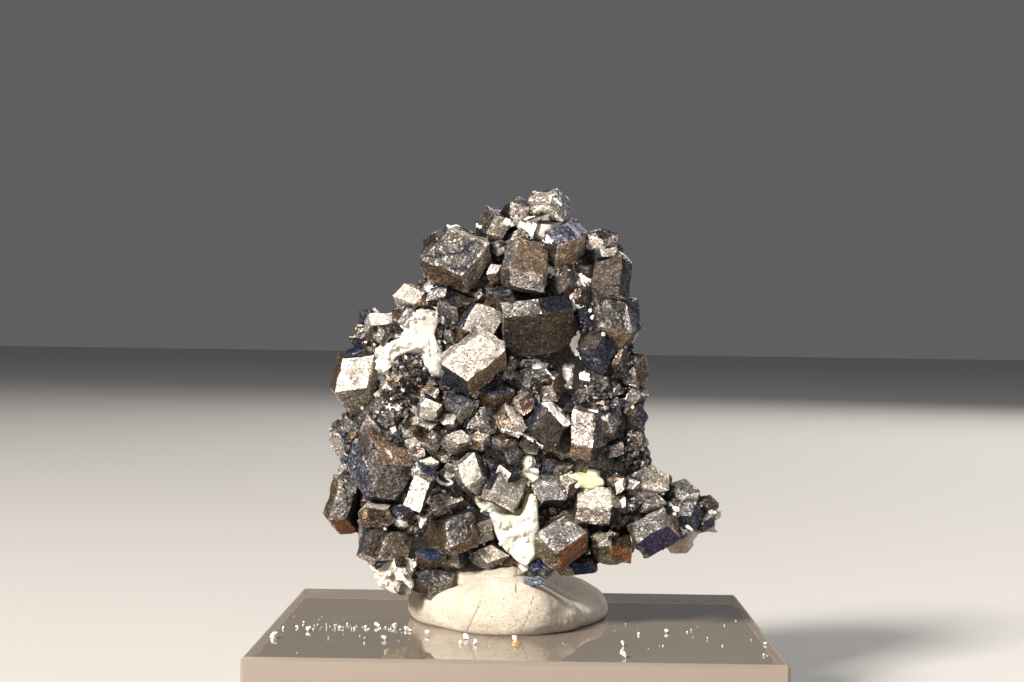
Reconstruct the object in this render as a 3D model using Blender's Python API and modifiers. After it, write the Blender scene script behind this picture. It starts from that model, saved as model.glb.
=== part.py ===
"""Magnetite specimen on a display slab.

Dodecahedral magnetite crystals grow on a lump of white feldspar. The lump is pressed into a pat of
putty, and the putty sits on a clear acrylic slab. The specimen is seen from the front along +Y, with
+X to the right and +Z up. The origin is the middle of the slab's underside.
"""

import math
import random

import bmesh
import bpy
import numpy as np
from mathutils import Matrix, Vector, noise

MM = 0.001

# Driving dimensions, in millimetres until MM is applied.
SLAB_WIDTH = 50.0
SLAB_THICKNESS = 9.5
SLAB_EDGE_ROUND = 0.3
CLEARANCE = 0.3

# The lump of feldspar: where its widest section lies, and how far it bulges to the front and back.
LUMP_MIDDLE = Vector((-2.0, 2.5, 32.0))
LUMP_FRONT = 5.2
LUMP_BACK = 10.5
# Its outline from the front, as distance from the middle at each angle, from +X anticlockwise.
LUMP_OUTLINE = (
    (0, 12.5), (20, 13.2), (38, 14.8), (55, 17.2), (72, 19.4), (90, 18.6), (108, 15.6), (125, 13.2),
    (142, 13.0), (160, 14.0), (178, 14.4), (196, 15.4), (214, 17.6), (226, 19.4), (238, 20.6),
    (250, 17.6), (264, 15.0), (280, 14.6), (296, 16.0), (312, 17.8), (324, 18.6), (332, 16.6),
    (340, 14.2), (348, 12.8),
)
LUMP_ROUGHNESS = 0.8

# The bed of massive magnetite that the crystals grow from covers the front and the flanks.
BED_OVER_OUTLINE = 1.3
BED_OVER_FRONT = 1.1
BED_BACK = 8.0

# Places and sizes that are seen from the front are given as they look, measured in the plane at
# SEEN_PLANE by an eye at this point. A crystal further back is set out along its line of sight.
EYE = Vector((1.1, -208.0, 39.2))
SEEN_PLANE = -7.0

# Feldspar that shows between the crystals: seen middle x and z, depth, and half sizes.
FELDSPAR_KNOBS = (
    ((-11.1, 37.8, -0.6), (2.4, 3.5, 1.2)),
    ((-9.3, 40.0, -0.6), (1.2, 3.5, 2.3)),
    ((-13.5, 36.5, -0.8), (1.0, 3.3, 1.7)),
    ((-8.6, 37.0, -1.2), (1.1, 3.4, 2.4)),
    ((-0.4, 19.8, -1.6), (2.4, 4.0, 2.4)),
    ((-3.0, 22.4, -2.0), (1.8, 3.6, 1.5)),
    ((1.0, 17.4, -1.8), (1.0, 3.6, 1.6)),
    ((1.0, 22.6, -1.6), (0.8, 3.4, 1.8)),
    ((1.0, 26.2, -1.8), (0.6, 3.4, 1.5)),
    ((-12.3, 15.4, 0.0), (2.0, 3.8, 1.9)),
    ((2.0, 49.4, -0.4), (1.7, 3.4, 1.3)),
    ((6.8, 24.7, -0.6), (1.9, 3.4, 1.1)),
    ((4.8, 34.8, -1.4), (1.0, 3.8, 2.0)),
    ((9.4, 33.5, 0.2), (1.3, 3.0, 0.7)),
    ((19.5, 21.6, -1.0), (1.1, 2.2, 0.9)),
    ((18.2, 20.6, 0.0), (1.9, 2.7, 1.3)),
    ((15.4, 19.4, 0.8), (2.6, 3.4, 1.7)),
    ((11.5, 21.6, 1.2), (5.6, 3.6, 2.6)),
    ((-9.6, 17.4, 2.6), (5.0, 4.6, 3.6)),
)

# One gives an ellipsoid, and less than one a block with rounded edges.
KNOB_BLOCKINESS = 0.72
# A knob narrower than this to each side of its middle has fewer, larger facets.
SMALL_KNOB = 1.55

# Crystals known by their nearest corner: its seen x and z, how far forward it is (y), and the seen
# far ends (x, z) of the three or four edges that leave it, anticlockwise.
CORNER_CRYSTALS = (
    # the crest
    (0.3, 50.1, -3.2, ((2.6, 50.6), (-1.6, 50.7), (0.7, 48.6))),
    (-5.8, 44.9, -5.6, ((-3.2, 48.2), (-9.8, 46.2), (-5.4, 43.2))),
    (5.6, 48.7, -4.4, ((7.2, 49.6), (4.3, 50.3), (3.5, 47.7), (5.3, 46.2))),
    (2.1, 45.0, -6.4, ((2.9, 48.2), (-1.2, 45.6), (2.2, 43.3))),
    (9.9, 47.1, -3.6, ((10.9, 46.2), (9.3, 47.9), (7.2, 46.3), (10.0, 43.4))),
    (10.9, 39.5, -4.8, ((12.1, 39.9), (10.7, 42.5), (7.5, 39.6), (9.7, 37.7))),
    # the upper left shoulder
    (-10.6, 41.9, -2.4, ((-9.4, 43.0), (-13.0, 42.8), (-9.9, 40.8))),
    (-12.2, 40.1, -1.2, ((-12.7, 41.6), (-14.8, 39.8), (-11.6, 39.0))),
    # the middle left
    (-15.1, 33.6, -4.2, ((-14.5, 36.9), (-18.2, 33.3), (-13.7, 31.2))),
    (-8.3, 31.5, -6.6, ((-7.7, 32.2), (-9.9, 32.1), (-8.6, 29.3))),
    (-5.2, 34.5, -8.2, ((-1.7, 37.8), (-7.8, 36.3), (-5.2, 32.6))),
    (-3.1, 38.8, -6.6, ((-1.5, 41.2), (-6.0, 39.7), (-3.1, 37.4))),
    # the middle
    (1.9, 41.3, -8.8, ((5.3, 41.6), (1.4, 42.7), (-1.8, 41.1), (2.2, 37.3))),
    (5.1, 28.5, -6.4, ((7.2, 28.1), (5.3, 31.9), (4.9, 27.0))),
    (1.2, 29.7, -6.3, ((2.6, 32.4), (-1.2, 29.5), (3.2, 27.6))),
    (-0.8, 30.6, -6.4, ((0.9, 30.0), (-1.6, 32.3), (-1.8, 29.4))),
    # the lower left
    (-13.1, 26.3, -5.8, ((-10.0, 25.9), (-15.3, 29.7), (-15.1, 22.9))),
    (-3.6, 25.2, -7.0, ((-4.5, 27.4), (-5.1, 24.0), (-2.7, 24.3))),
    (-8.9, 24.2, -6.8, ((-8.1, 24.9), (-10.5, 24.9), (-9.9, 21.4))),
    (-16.9, 20.6, -2.8, ((-16.5, 24.6), (-18.7, 20.7), (-16.0, 19.0))),
    (-13.0, 21.6, -5.6, ((-12.2, 22.5), (-15.4, 21.4), (-12.9, 20.2))),
    (-13.0, 19.4, -5.8, ((-10.4, 19.3), (-14.8, 20.4), (-13.6, 16.7))),
    (-7.1, 20.7, -6.8, ((-4.6, 21.6), (-9.9, 20.5), (-7.0, 18.0))),
    # the lower middle and right
    (0.0, 22.5, -6.2, ((1.0, 24.6), (-2.7, 23.8), (-0.3, 21.4))),
    (9.2, 22.4, -7.4, ((10.0, 22.2), (9.1, 24.1), (5.8, 21.8), (8.8, 20.7))),
    (4.0, 17.7, -8.6, ((6.9, 19.7), (1.6, 19.1), (4.1, 15.7))),
    (9.1, 18.5, -7.0, ((11.2, 17.9), (9.4, 19.8), (7.0, 18.3), (9.1, 17.0))),
    (15.0, 20.4, -8.0, ((14.6, 22.2), (11.8, 18.8), (16.3, 18.9))),
)
# The far side of a crystal with a three-edged corner, as a share of its mean edge.
FAR_SHARE = 0.4
# A strongly foreshortened edge is no longer than this share of the longest seen one.
LONGEST_SHARE = 1.6

# Crystals known by their outline: seen middle x and z, how far forward they reach, width, height,
# and the directions in degrees of the edges that meet at the nearest corner.
OUTLINED_CRYSTALS = (
    # the crest
    (2.4, 51.9, -3.0, 5.0, 3.6, (8, 126, 217)),
    (3.8, 52.1, -1.2, 2.4, 2.6, (35, 160, 280)),
    (-0.4, 51.3, -2.8, 3.6, 3.4, (48, 165, 272)),
    (-2.8, 49.7, -3.4, 3.6, 4.6, (62, 168, 265)),
    (-6.8, 47.3, -4.7, 6.8, 5.6, (28, 160, 262)),
    (-2.2, 47.7, -3.4, 2.0, 2.0, (25, 140, 265)),
    (-2.6, 45.1, -4.6, 2.0, 2.3, (60, 175, 295)),
    (7.9, 48.6, -1.8, 3.0, 2.8, (30, 150, 270)),
    (8.2, 46.8, -2.8, 3.6, 2.4, (10, 110, 200)),
    (4.2, 44.0, -4.4, 3.8, 3.2, (40, 190, 290)),
    (6.2, 45.4, -2.4, 2.6, 2.6, (50, 170, 280)),
    (5.9, 42.9, -4.2, 2.6, 3.0, (80, 200, 320)),
    (-1.5, 42.6, -4.8, 3.8, 3.4, (60, 190, 290)),
    (1.2, 43.7, -4.2, 3.4, 2.0, (5, 120, 200)),
    # the upper left shoulder
    (-7.6, 42.7, -3.6, 3.8, 2.6, (80, 200, 320)),
    (-6.3, 41.6, -4.2, 4.2, 3.8, (30, 150, 270)),
    (-13.0, 38.9, -3.4, 3.8, 2.4, (10, 130, 250)),
    (-10.6, 39.6, 0.0, 2.6, 2.2, (20, 130, 260)),
    (-6.9, 39.2, -4.0, 2.6, 2.6, (45, 170, 290)),
    (-15.1, 40.5, 3.0, 2.6, 2.4, (15, 130, 255)),
    (-15.8, 38.7, 2.6, 2.8, 2.8, (60, 175, 300)),
    (-15.9, 36.6, 1.2, 3.2, 3.0, (30, 140, 265)),
    # the middle left
    (-11.2, 35.1, -5.2, 4.8, 4.6, (38, 128, 225, 322)),
    (-12.2, 32.4, -4.2, 3.8, 2.4, (30, 140, 250)),
    (-12.0, 31.2, -4.4, 4.6, 3.6, (10, 175, 270)),
    (-9.0, 33.3, -5.2, 2.2, 1.6, (40, 160, 280)),
    (-6.9, 30.6, -5.2, 2.4, 2.2, (70, 180, 300)),
    (-5.8, 32.0, -5.6, 3.6, 3.0, (25, 145, 265)),
    (-2.4, 33.1, -5.8, 4.6, 3.0, (35, 150, 275)),
    (-1.1, 37.2, -5.0, 2.2, 3.4, (60, 180, 300)),
    (-16.8, 28.6, 1.0, 4.0, 4.6, (45, 165, 285)),
    (-15.9, 30.2, -1.6, 3.6, 3.6, (25, 140, 260)),
    (-11.0, 29.3, -3.6, 3.4, 2.6, (20, 150, 270)),
    # the middle
    (1.0, 36.3, -4.8, 3.0, 1.8, (0, 90, 180, 270)),
    (1.5, 34.8, -5.4, 4.0, 3.0, (20, 140, 265)),
    (3.2, 34.0, -5.2, 2.4, 2.8, (60, 180, 300)),
    (0.6, 32.4, -5.6, 3.4, 3.0, (35, 160, 285)),
    (-1.4, 28.2, -5.6, 3.2, 2.2, (20, 150, 270)),
    (1.2, 28.4, -5.4, 4.4, 2.6, (20, 150, 250)),
    (5.9, 33.7, -4.2, 2.4, 2.8, (30, 150, 270)),
    (7.4, 37.8, -4.8, 4.2, 4.6, (60, 180, 300)),
    (8.3, 30.8, -4.2, 4.0, 4.6, (45, 180, 290)),
    (8.4, 27.9, -3.2, 3.4, 3.2, (80, 200, 320)),
    # the right flank, set back in shade
    (9.7, 36.5, -3.6, 2.6, 3.2, (70, 190, 310)),
    (11.2, 35.6, -3.0, 3.2, 4.2, (35, 165, 280)),
    (11.5, 33.2, -2.4, 2.8, 2.8, (10, 125, 240)),
    (11.4, 31.0, -2.6, 2.8, 3.4, (60, 185, 300)),
    (9.5, 27.9, -3.4, 2.8, 2.6, (25, 150, 275)),
    (11.4, 29.0, -2.6, 2.2, 1.8, (0, 90, 225)),
    (10.9, 27.4, -3.0, 2.2, 2.0, (30, 150, 270)),
    (12.1, 26.9, -2.2, 1.8, 2.0, (60, 180, 300)),
    (8.6, 32.6, -2.6, 2.4, 2.0, (15, 140, 255)),
    # the lower left
    (-10.2, 27.1, -5.2, 1.7, 1.7, (40, 160, 280)),
    (-9.0, 26.0, -5.6, 2.3, 1.9, (20, 140, 260)),
    (-7.8, 26.9, -5.0, 2.2, 1.6, (30, 150, 270)),
    (-8.6, 28.3, -4.8, 3.0, 2.6, (60, 190, 310)),
    (-6.4, 28.5, -6.0, 3.8, 2.9, (15, 130, 245)),
    (-4.1, 28.4, -5.6, 2.6, 2.0, (40, 165, 280)),
    (-3.6, 30.4, -5.2, 3.2, 3.2, (80, 200, 320)),
    (-6.6, 24.6, -5.6, 3.4, 3.4, (50, 170, 290)),
    (-7.0, 22.2, -6.0, 5.0, 3.6, (25, 120, 205, 300)),
    (-11.7, 20.9, -4.8, 2.8, 2.6, (30, 150, 270)),
    (-4.2, 19.9, -6.2, 4.4, 4.6, (20, 150, 265)),
    (-8.7, 16.8, -5.0, 3.2, 2.6, (28, 145, 268)),
    (-6.0, 17.4, -4.6, 3.2, 3.2, (40, 160, 280)),
    (-8.7, 14.5, -5.4, 4.6, 3.2, (30, 145, 270)),
    (-2.7, 17.2, -5.8, 4.0, 3.4, (30, 140, 265)),
    (-0.9, 16.9, -5.2, 2.4, 2.2, (10, 130, 250)),
    # larger crystals behind the lowest ones
    (4.6, 19.2, -5.2, 6.4, 6.2, (40, 165, 285)),
    (9.4, 19.2, -4.6, 5.6, 4.8, (10, 130, 250)),
    (13.8, 20.6, -5.6, 6.0, 4.8, (30, 150, 270)),
    (-12.6, 19.0, -3.0, 6.4, 6.4, (30, 150, 270)),
    # crystals that fill the spaces at the sides
    (-13.6, 29.6, -3.4, 4.6, 4.0, (10, 130, 250)),
    (-8.6, 29.6, -4.2, 3.6, 3.4, (40, 160, 285)),
    (-6.2, 26.4, -4.6, 3.8, 3.6, (20, 145, 260)),
    (-11.0, 24.0, -4.0, 4.4, 4.4, (30, 155, 275)),
    (4.2, 27.4, -4.2, 4.8, 4.4, (15, 135, 255)),
    (6.4, 41.0, -3.8, 4.4, 4.6, (30, 160, 280)),
    (9.0, 34.8, -2.2, 4.0, 4.0, (50, 170, 290)),
    (9.8, 30.6, -2.6, 3.8, 4.6, (45, 165, 285)),
    # the lower middle and right
    (-1.3, 27.5, -5.6, 3.8, 3.4, (50, 185, 300)),
    (-1.5, 25.2, -6.0, 3.4, 2.4, (12, 140, 250)),
    (3.2, 23.8, -5.4, 4.6, 4.2, (60, 190, 300)),
    (4.9, 24.3, -5.4, 2.2, 2.6, (20, 140, 260)),
    (3.7, 26.1, -4.6, 3.6, 2.6, (10, 130, 250)),
    (9.9, 24.2, -6.0, 2.4, 2.4, (30, 150, 280)),
    (11.3, 24.0, -5.6, 2.2, 2.2, (50, 165, 290)),
    (10.6, 22.2, -6.4, 1.6, 1.7, (90, 210, 330)),
    (11.5, 22.1, -6.6, 1.4, 1.2, (20, 140, 260)),
    (10.2, 21.2, -5.8, 2.6, 2.0, (10, 130, 250)),
    (2.4, 15.9, -6.2, 2.6, 2.2, (30, 150, 270)),
    (5.8, 16.4, -6.4, 4.6, 2.4, (5, 110, 205)),
    (12.9, 22.8, -6.6, 3.8, 2.4, (5, 120, 240)),
    (13.3, 24.4, -5.4, 4.2, 4.0, (40, 150, 300)),
    (16.2, 23.4, -4.6, 3.6, 3.0, (20, 140, 260)),
    (17.0, 21.4, -5.4, 2.8, 3.0, (60, 180, 300)),
    (18.6, 22.3, -3.8, 2.6, 2.4, (15, 135, 255)),
    (18.2, 20.9, -4.4, 2.4, 2.2, (30, 150, 270)),
)

# Crystals on the flanks, out of sight from the front: depth, count and size of each ring.
FLANK_RINGS = ((1.5, 9, 3.6), (5.2, 11, 4.6))
# Small crystals between the large ones on the front.
INFILL_COUNT = 4
INFILL_SIZE = (1.6, 2.6)
SEED = 8

# The pat of putty: its middle on the slab, its outline from above, and its side from the slab up,
# as a share of the outline at each height.
PUTTY_MIDDLE = Vector((-0.5, 1.5, SLAB_THICKNESS))
PUTTY_OUTLINE = (
    (0, 9.0), (22, 10.6), (44, 13.6), (66, 12.8), (90, 11.6), (120, 11.4), (155, 11.6), (186, 10.4),
    (212, 9.9), (228, 9.8), (252, 11.5), (268, 11.9), (282, 11.1), (298, 10.2), (328, 8.3),
)
PUTTY_SIDE = ((0.97, 0.0), (1.04, 1.4), (0.99, 3.4), (0.86, 5.2), (0.60, 6.4))
# The pat is lower by this share of its height on the right.
PUTTY_FALL = 0.22
PUTTY_AROUND = 28

# The loose chip stuck on the front of the putty, placed as the front crystals are.
CHIP = (1.65, 14.6, -9.4, 2.3, 1.0, (20, 120, 240))


def material(name, colour, roughness, metallic=0.0, alpha=1.0):
    """A Principled material with the part's colour, roughness and metallic value."""
    made = bpy.data.materials.new(name)
    made.use_nodes = True
    shader = made.node_tree.nodes["Principled BSDF"]
    shader.inputs["Base Color"].default_value = (*colour, 1.0)
    shader.inputs["Roughness"].default_value = roughness
    shader.inputs["Metallic"].default_value = metallic
    shader.inputs["Alpha"].default_value = alpha
    return made


def mesh_object(name, bm, collection):
    """Puts a bmesh, drawn in millimetres, into a named object in metres."""
    bmesh.ops.recalc_face_normals(bm, faces=bm.faces)
    bm.transform(Matrix.Scale(MM, 4))
    mesh = bpy.data.meshes.new(name)
    bm.to_mesh(mesh)
    bm.free()
    made = bpy.data.objects.new(name, mesh)
    collection.objects.link(made)
    return made


def hull_object(name, points, collection):
    """The convex solid round some points, with each flat side as one face."""
    bm = bmesh.new()
    for point in points:
        bm.verts.new(point)
    hull = bmesh.ops.convex_hull(bm, input=bm.verts)
    inside = [part for part in hull["geom_interior"] if isinstance(part, bmesh.types.BMVert)]
    bmesh.ops.delete(bm, geom=inside, context="VERTS")
    bmesh.ops.dissolve_limit(
        bm, angle_limit=math.radians(0.5), verts=bm.verts, edges=bm.edges
    )
    return mesh_object(name, bm, collection)


# A rhombic dodecahedron has eight corners where three edges meet and six where four meet.
THREE_EDGE_CORNERS = [(x, y, z) for x in (-1, 1) for y in (-1, 1) for z in (-1, 1)]
FOUR_EDGE_CORNERS = [tuple(2 * way * (i == k) for k in range(3)) for i in range(3) for way in (-1, 1)]
CORNERS = np.array(THREE_EDGE_CORNERS + FOUR_EDGE_CORNERS, float)
# The edges that leave a corner that points along +Z, anticlockwise as seen from above, by number.
EDGE_RISE = {3: -1 / 3, 4: -1 / math.sqrt(3)}
CORNER_EDGES = {
    count: np.array([
        (math.sqrt(1 - rise * rise) * math.cos(2 * math.pi * k / count),
         math.sqrt(1 - rise * rise) * math.sin(2 * math.pi * k / count), rise) for k in range(count)
    ]) for count, rise in EDGE_RISE.items()
}
# Carries +Z to the viewer, who looks along +Y.
FACING = np.array(Matrix.Rotation(math.radians(90), 3, "X"))


def turned(vector):
    """The rotation matrix of a rotation vector in radians."""
    angle = float(np.linalg.norm(vector))
    return np.array(Matrix.Rotation(angle, 3, Vector(vector) if angle else Vector((0, 0, 1))))


def seen_angles(rotation, edges):
    """The angles at which edges run, seen from the front."""
    run = rotation @ edges.T
    return np.arctan2(run[2], run[0])


def orientation_from_edges(wanted):
    """Turns a corner until its edges run at these angles in radians, by damped least squares."""
    edges = CORNER_EDGES[len(wanted)]
    miss = wanted - seen_angles(FACING, edges)
    roll = math.atan2(np.sin(miss).sum(), np.cos(miss).sum())
    rotation = turned(np.array((0, -roll, 0))) @ FACING
    step, damping = 1e-4, 0.02
    for _ in range(40):
        start = seen_angles(rotation, edges)
        miss = np.angle(np.exp(1j * (wanted - start)))
        slopes = np.stack(
            [np.angle(np.exp(1j * (seen_angles(turned(step * axis) @ rotation, edges) - start))) / step
             for axis in np.eye(3)], axis=1
        )
        turn = np.linalg.solve(slopes.T @ slopes + damping * np.eye(3), slopes.T @ miss)
        rotation = turned(0.6 * turn) @ rotation
    return rotation


def grown(points, grow):
    """Moves a crystal's faces outward by about this much."""
    middle = points.mean(axis=0)
    return middle + (points - middle) * (1 + 2 * grow / np.ptp(points, axis=0).min())


def set_out(points):
    """Carries a crystal from the seen plane along the line of sight to its own depth."""
    eye = np.array(EYE)
    along = (points[:, 1].mean() - eye[1]) / (SEEN_PLANE - eye[1])
    eye[1] = points[:, 1].mean()
    return eye + (points - eye) * along


def corner_crystal(row, grow=0.0):
    """A crystal whose nearest corner and edges are where they are seen: all sums of its edges."""
    x, z, front, ends = row
    run = np.array(ends) - (x, z)
    rotation = orientation_from_edges(np.arctan2(run[:, 1], run[:, 0]))
    edges = CORNER_EDGES[len(ends)] @ rotation.T
    seen = np.hypot(edges[:, 0], edges[:, 2])
    seen_lengths = np.hypot(run[:, 0], run[:, 1])
    lengths = np.minimum(seen_lengths / np.maximum(seen, 0.1), LONGEST_SHARE * seen_lengths.max())
    sides = edges * lengths[:, None]
    if len(ends) == 3:
        sides = np.vstack([sides, FAR_SHARE * lengths.mean() * edges.sum(axis=0)])
    choice = np.array([[i >> k & 1 for k in range(4)] for i in range(16)])
    return grown(set_out(np.array((x, front, z)) + choice @ sides), grow)


def outlined_crystal(row, grow=0.0):
    """A crystal that fills its outline and reaches forward to its front."""
    x, z, front, width, height, degrees = row
    edges = CORNER_EDGES[len(degrees)]
    rotation = orientation_from_edges(np.radians(degrees))
    sides = edges @ rotation.T
    if len(degrees) == 3:
        sides = np.vstack([sides, sides.sum(axis=0)])
    choice = np.array([[i >> k & 1 for k in range(4)] for i in range(16)])
    points = choice @ sides
    span = np.ptp(points, axis=0)
    across, up = width / span[0], height / span[2]
    points *= (across, math.sqrt(across * up), up)
    low, high = points.min(axis=0), points.max(axis=0)
    points += (x - (low[0] + high[0]) / 2, front - low[1], z - (low[2] + high[2]) / 2)
    return grown(set_out(points), grow)


def loose_crystal_points(middle, size, rng, grow=0.0):
    """The corners of a crystal of this size, turned at random."""
    axis = Vector((rng.gauss(0, 1), rng.gauss(0, 1), rng.gauss(0, 1))).normalized()
    turn = np.array(Matrix.Rotation(rng.uniform(0, math.pi), 3, axis))
    stretch = [rng.uniform(0.85, 1.15) for _ in range(3)]
    return np.array(middle) + (CORNERS * stretch) @ turn.T * (size / 4 + grow / 2)


def outline_radius(angle):
    """The lump's outline at an angle in radians, between the stated points."""
    degrees = math.degrees(angle) % 360
    angles = [a for a, _ in LUMP_OUTLINE] + [360 + LUMP_OUTLINE[0][0]]
    radii = [r for _, r in LUMP_OUTLINE] + [LUMP_OUTLINE[0][1]]
    return float(np.interp(degrees, angles, radii))


def lump_point(direction, over_outline, front, back):
    """Carries a direction from the middle to the surface of the lump."""
    angle = math.atan2(direction.z, direction.x)
    ring = math.hypot(direction.x, direction.z)
    radius = (outline_radius(angle) + over_outline) * ring**0.6
    depth = (back if direction.y > 0 else front) * abs(direction.y) ** 0.5
    return LUMP_MIDDLE + Vector((
        radius * math.cos(angle), math.copysign(depth, direction.y), radius * math.sin(angle)
    ))


def lump(name, collection, over_outline, front, back, subdivisions, roughness, grow=0.0):
    """A broken lump: a sphere carried to the outline, its surface moved in and out by noise."""
    bm = bmesh.new()
    bmesh.ops.create_icosphere(bm, subdivisions=subdivisions, radius=1.0)
    for vert in bm.verts:
        direction = vert.co.normalized()
        point = lump_point(direction, over_outline, front, back)
        away = (point - LUMP_MIDDLE).normalized()
        rough = noise.noise(direction * 3.0) + 0.5 * noise.noise(direction * 8.0)
        vert.co = point + away * (roughness * rough + grow)
    return mesh_object(name, bm, collection)


def knob(name, collection, middle, half_sizes, grow):
    """A blocky knob of feldspar, its surface moved in and out by noise."""
    bm = bmesh.new()
    facets = 1 if min(half_sizes) < SMALL_KNOB else 2
    bmesh.ops.create_icosphere(bm, subdivisions=facets, radius=1.0)
    for vert in bm.verts:
        direction = vert.co.normalized()
        reach = 1 + 0.16 * noise.noise(direction * 1.7 + Vector(middle))
        blocky = [math.copysign(abs(part) ** KNOB_BLOCKINESS, part) for part in direction]
        vert.co = Vector(middle) + Vector(
            [(half + grow) * reach * part for half, part in zip(half_sizes, blocky)]
        )
    return mesh_object(name, bm, collection)


def guide(obj):
    """A shape used only to cut or join another."""
    obj.hide_render = True
    obj.display_type = "WIRE"
    return obj


def new_collection(name, parent):
    made = bpy.data.collections.new(name)
    parent.children.link(made)
    return made


def boolean(obj, operation, collection):
    """Joins or cuts an object with everything in a collection."""
    modifier = obj.modifiers.new(operation.title(), "BOOLEAN")
    modifier.operation = operation
    modifier.operand_type = "COLLECTION"
    modifier.collection = collection
    modifier.solver = "EXACT"


def feldspar(name, collection, guides, grow):
    """The lump with the knobs that show between the crystals."""
    body = lump(name, collection, 0.0, LUMP_FRONT, LUMP_BACK, 2, LUMP_ROUGHNESS, grow)
    knobs = new_collection(name + "_knobs", guides)
    for i, ((x, z, depth), half_sizes) in enumerate(FELDSPAR_KNOBS):
        middle = set_out(np.array([(x, depth, z)]))[0]
        guide(knob(f"{name}_knob_{i}", knobs, middle, half_sizes, grow))
    boolean(body, "UNION", knobs)
    return body


def flank_crystals(rng):
    """Middle and size of each crystal on the rings round the flanks."""
    found = []
    for depth, count, size in FLANK_RINGS:
        for i in range(count):
            angle = 2 * math.pi * (i + rng.uniform(-0.3, 0.3)) / count
            back = (depth - LUMP_MIDDLE.y) / LUMP_BACK
            ring = math.sqrt(max(0.0, 1 - max(0.0, back) ** 2.4))
            radius = (outline_radius(angle) + 0.2) * ring
            middle = LUMP_MIDDLE + Vector((radius * math.cos(angle), 0, radius * math.sin(angle)))
            middle.y = depth + rng.uniform(-0.8, 0.8)
            found.append((middle, size * rng.uniform(0.8, 1.25)))
    # Some carry another crystal further back and inward, at the edge of the broken face.
    for middle, size in list(found)[-FLANK_RINGS[-1][1]:]:
        if rng.random() < 0.6:
            inward = (LUMP_MIDDLE - middle).normalized()
            further = middle + Vector((1.2 * inward.x, 2.1, 1.2 * inward.z))
            found.append((further, size * 0.95))
    return found


def infill_crystals(rng):
    """Middle and size of each small crystal on the front of the bed."""
    found = []
    for _ in range(INFILL_COUNT):
        angle = rng.uniform(0, 2 * math.pi)
        ring = math.sqrt(rng.uniform(0.02, 0.9))
        direction = Vector((ring * math.cos(angle), -math.sqrt(1 - ring * ring), ring * math.sin(angle)))
        middle = lump_point(direction, BED_OVER_OUTLINE, LUMP_FRONT + BED_OVER_FRONT, BED_BACK)
        clear = all(
            abs(middle.x - x) > half_x + 0.6 or abs(middle.z - z) > half_z + 0.6
            for (x, z, _), (half_x, _, half_z) in FELDSPAR_KNOBS
        )
        if clear:
            found.append((middle, rng.uniform(*INFILL_SIZE)))
    return found


def crystal_solids(prefix, crystals, grow=0.0, below=math.inf):
    """Draws every crystal that reaches below a height into a collection."""
    rng = random.Random(SEED)
    shapes = [corner_crystal(row, grow) for row in CORNER_CRYSTALS]
    shapes += [outlined_crystal(row, grow) for row in OUTLINED_CRYSTALS]
    for i, points in enumerate(shapes):
        if points[:, 2].min() < below:
            guide(hull_object(f"{prefix}_front_{i}", points, crystals))
    for i, (middle, size) in enumerate(flank_crystals(rng) + infill_crystals(rng)):
        points = loose_crystal_points(middle, size, rng, grow)
        if points[:, 2].min() < below:
            guide(hull_object(f"{prefix}_loose_{i}", points, crystals))


def bed(name, collection, grow=0.0):
    """The massive magnetite that the crystals grow from."""
    return lump(
        name, collection, BED_OVER_OUTLINE, LUMP_FRONT + BED_OVER_FRONT, BED_BACK, 2, LUMP_ROUGHNESS, grow
    )


def magnetite(name, collection, guides, feldspar_cut):
    """The bed with every crystal joined to it, hollowed to sit round the feldspar."""
    body = bed(name, collection)
    crystals = new_collection(name + "_joined", guides)
    crystal_solids("crystal", crystals)
    boolean(body, "UNION", crystals)
    boolean(body, "DIFFERENCE", feldspar_cut)
    return body


def putty(name, collection):
    """The pat of putty, before the specimen is pressed into it."""
    bm = bmesh.new()
    angles = [a for a, _ in PUTTY_OUTLINE] + [360]
    radii = [r for _, r in PUTTY_OUTLINE] + [PUTTY_OUTLINE[0][1]]
    rings = []
    for share, height in PUTTY_SIDE:
        ring = []
        for i in range(PUTTY_AROUND):
            angle = 2 * math.pi * i / PUTTY_AROUND
            radius = share * float(np.interp(math.degrees(angle), angles, radii))
            level = height * (1 - PUTTY_FALL * max(0.0, math.cos(angle)))
            point = PUTTY_MIDDLE + Vector((
                radius * math.cos(angle), radius * math.sin(angle), max(level, CLEARANCE)
            ))
            if height > 0:
                away = Vector((math.cos(angle), math.sin(angle), 0.3))
                point += away * 0.5 * noise.noise(point * 0.35)
            ring.append(bm.verts.new(point))
        rings.append(ring)
    for lower, upper in zip(rings, rings[1:]):
        for i in range(PUTTY_AROUND):
            k = (i + 1) % PUTTY_AROUND
            bm.faces.new((lower[i], lower[k], upper[k], upper[i]))
    bm.faces.new(rings[0][::-1])
    bm.faces.new(rings[-1])
    return mesh_object(name, bm, collection)


def slab(name, collection):
    """The acrylic slab, its edges eased."""
    bm = bmesh.new()
    size = Matrix.Diagonal((SLAB_WIDTH, SLAB_WIDTH, SLAB_THICKNESS, 1))
    middle = Matrix.Translation((0, 0, SLAB_THICKNESS / 2))
    bmesh.ops.create_cube(bm, size=1.0, matrix=middle @ size)
    made = mesh_object(name, bm, collection)
    eased = made.modifiers.new("Eased edges", "BEVEL")
    eased.width = SLAB_EDGE_ROUND * MM
    eased.segments = 1
    return made


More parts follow.
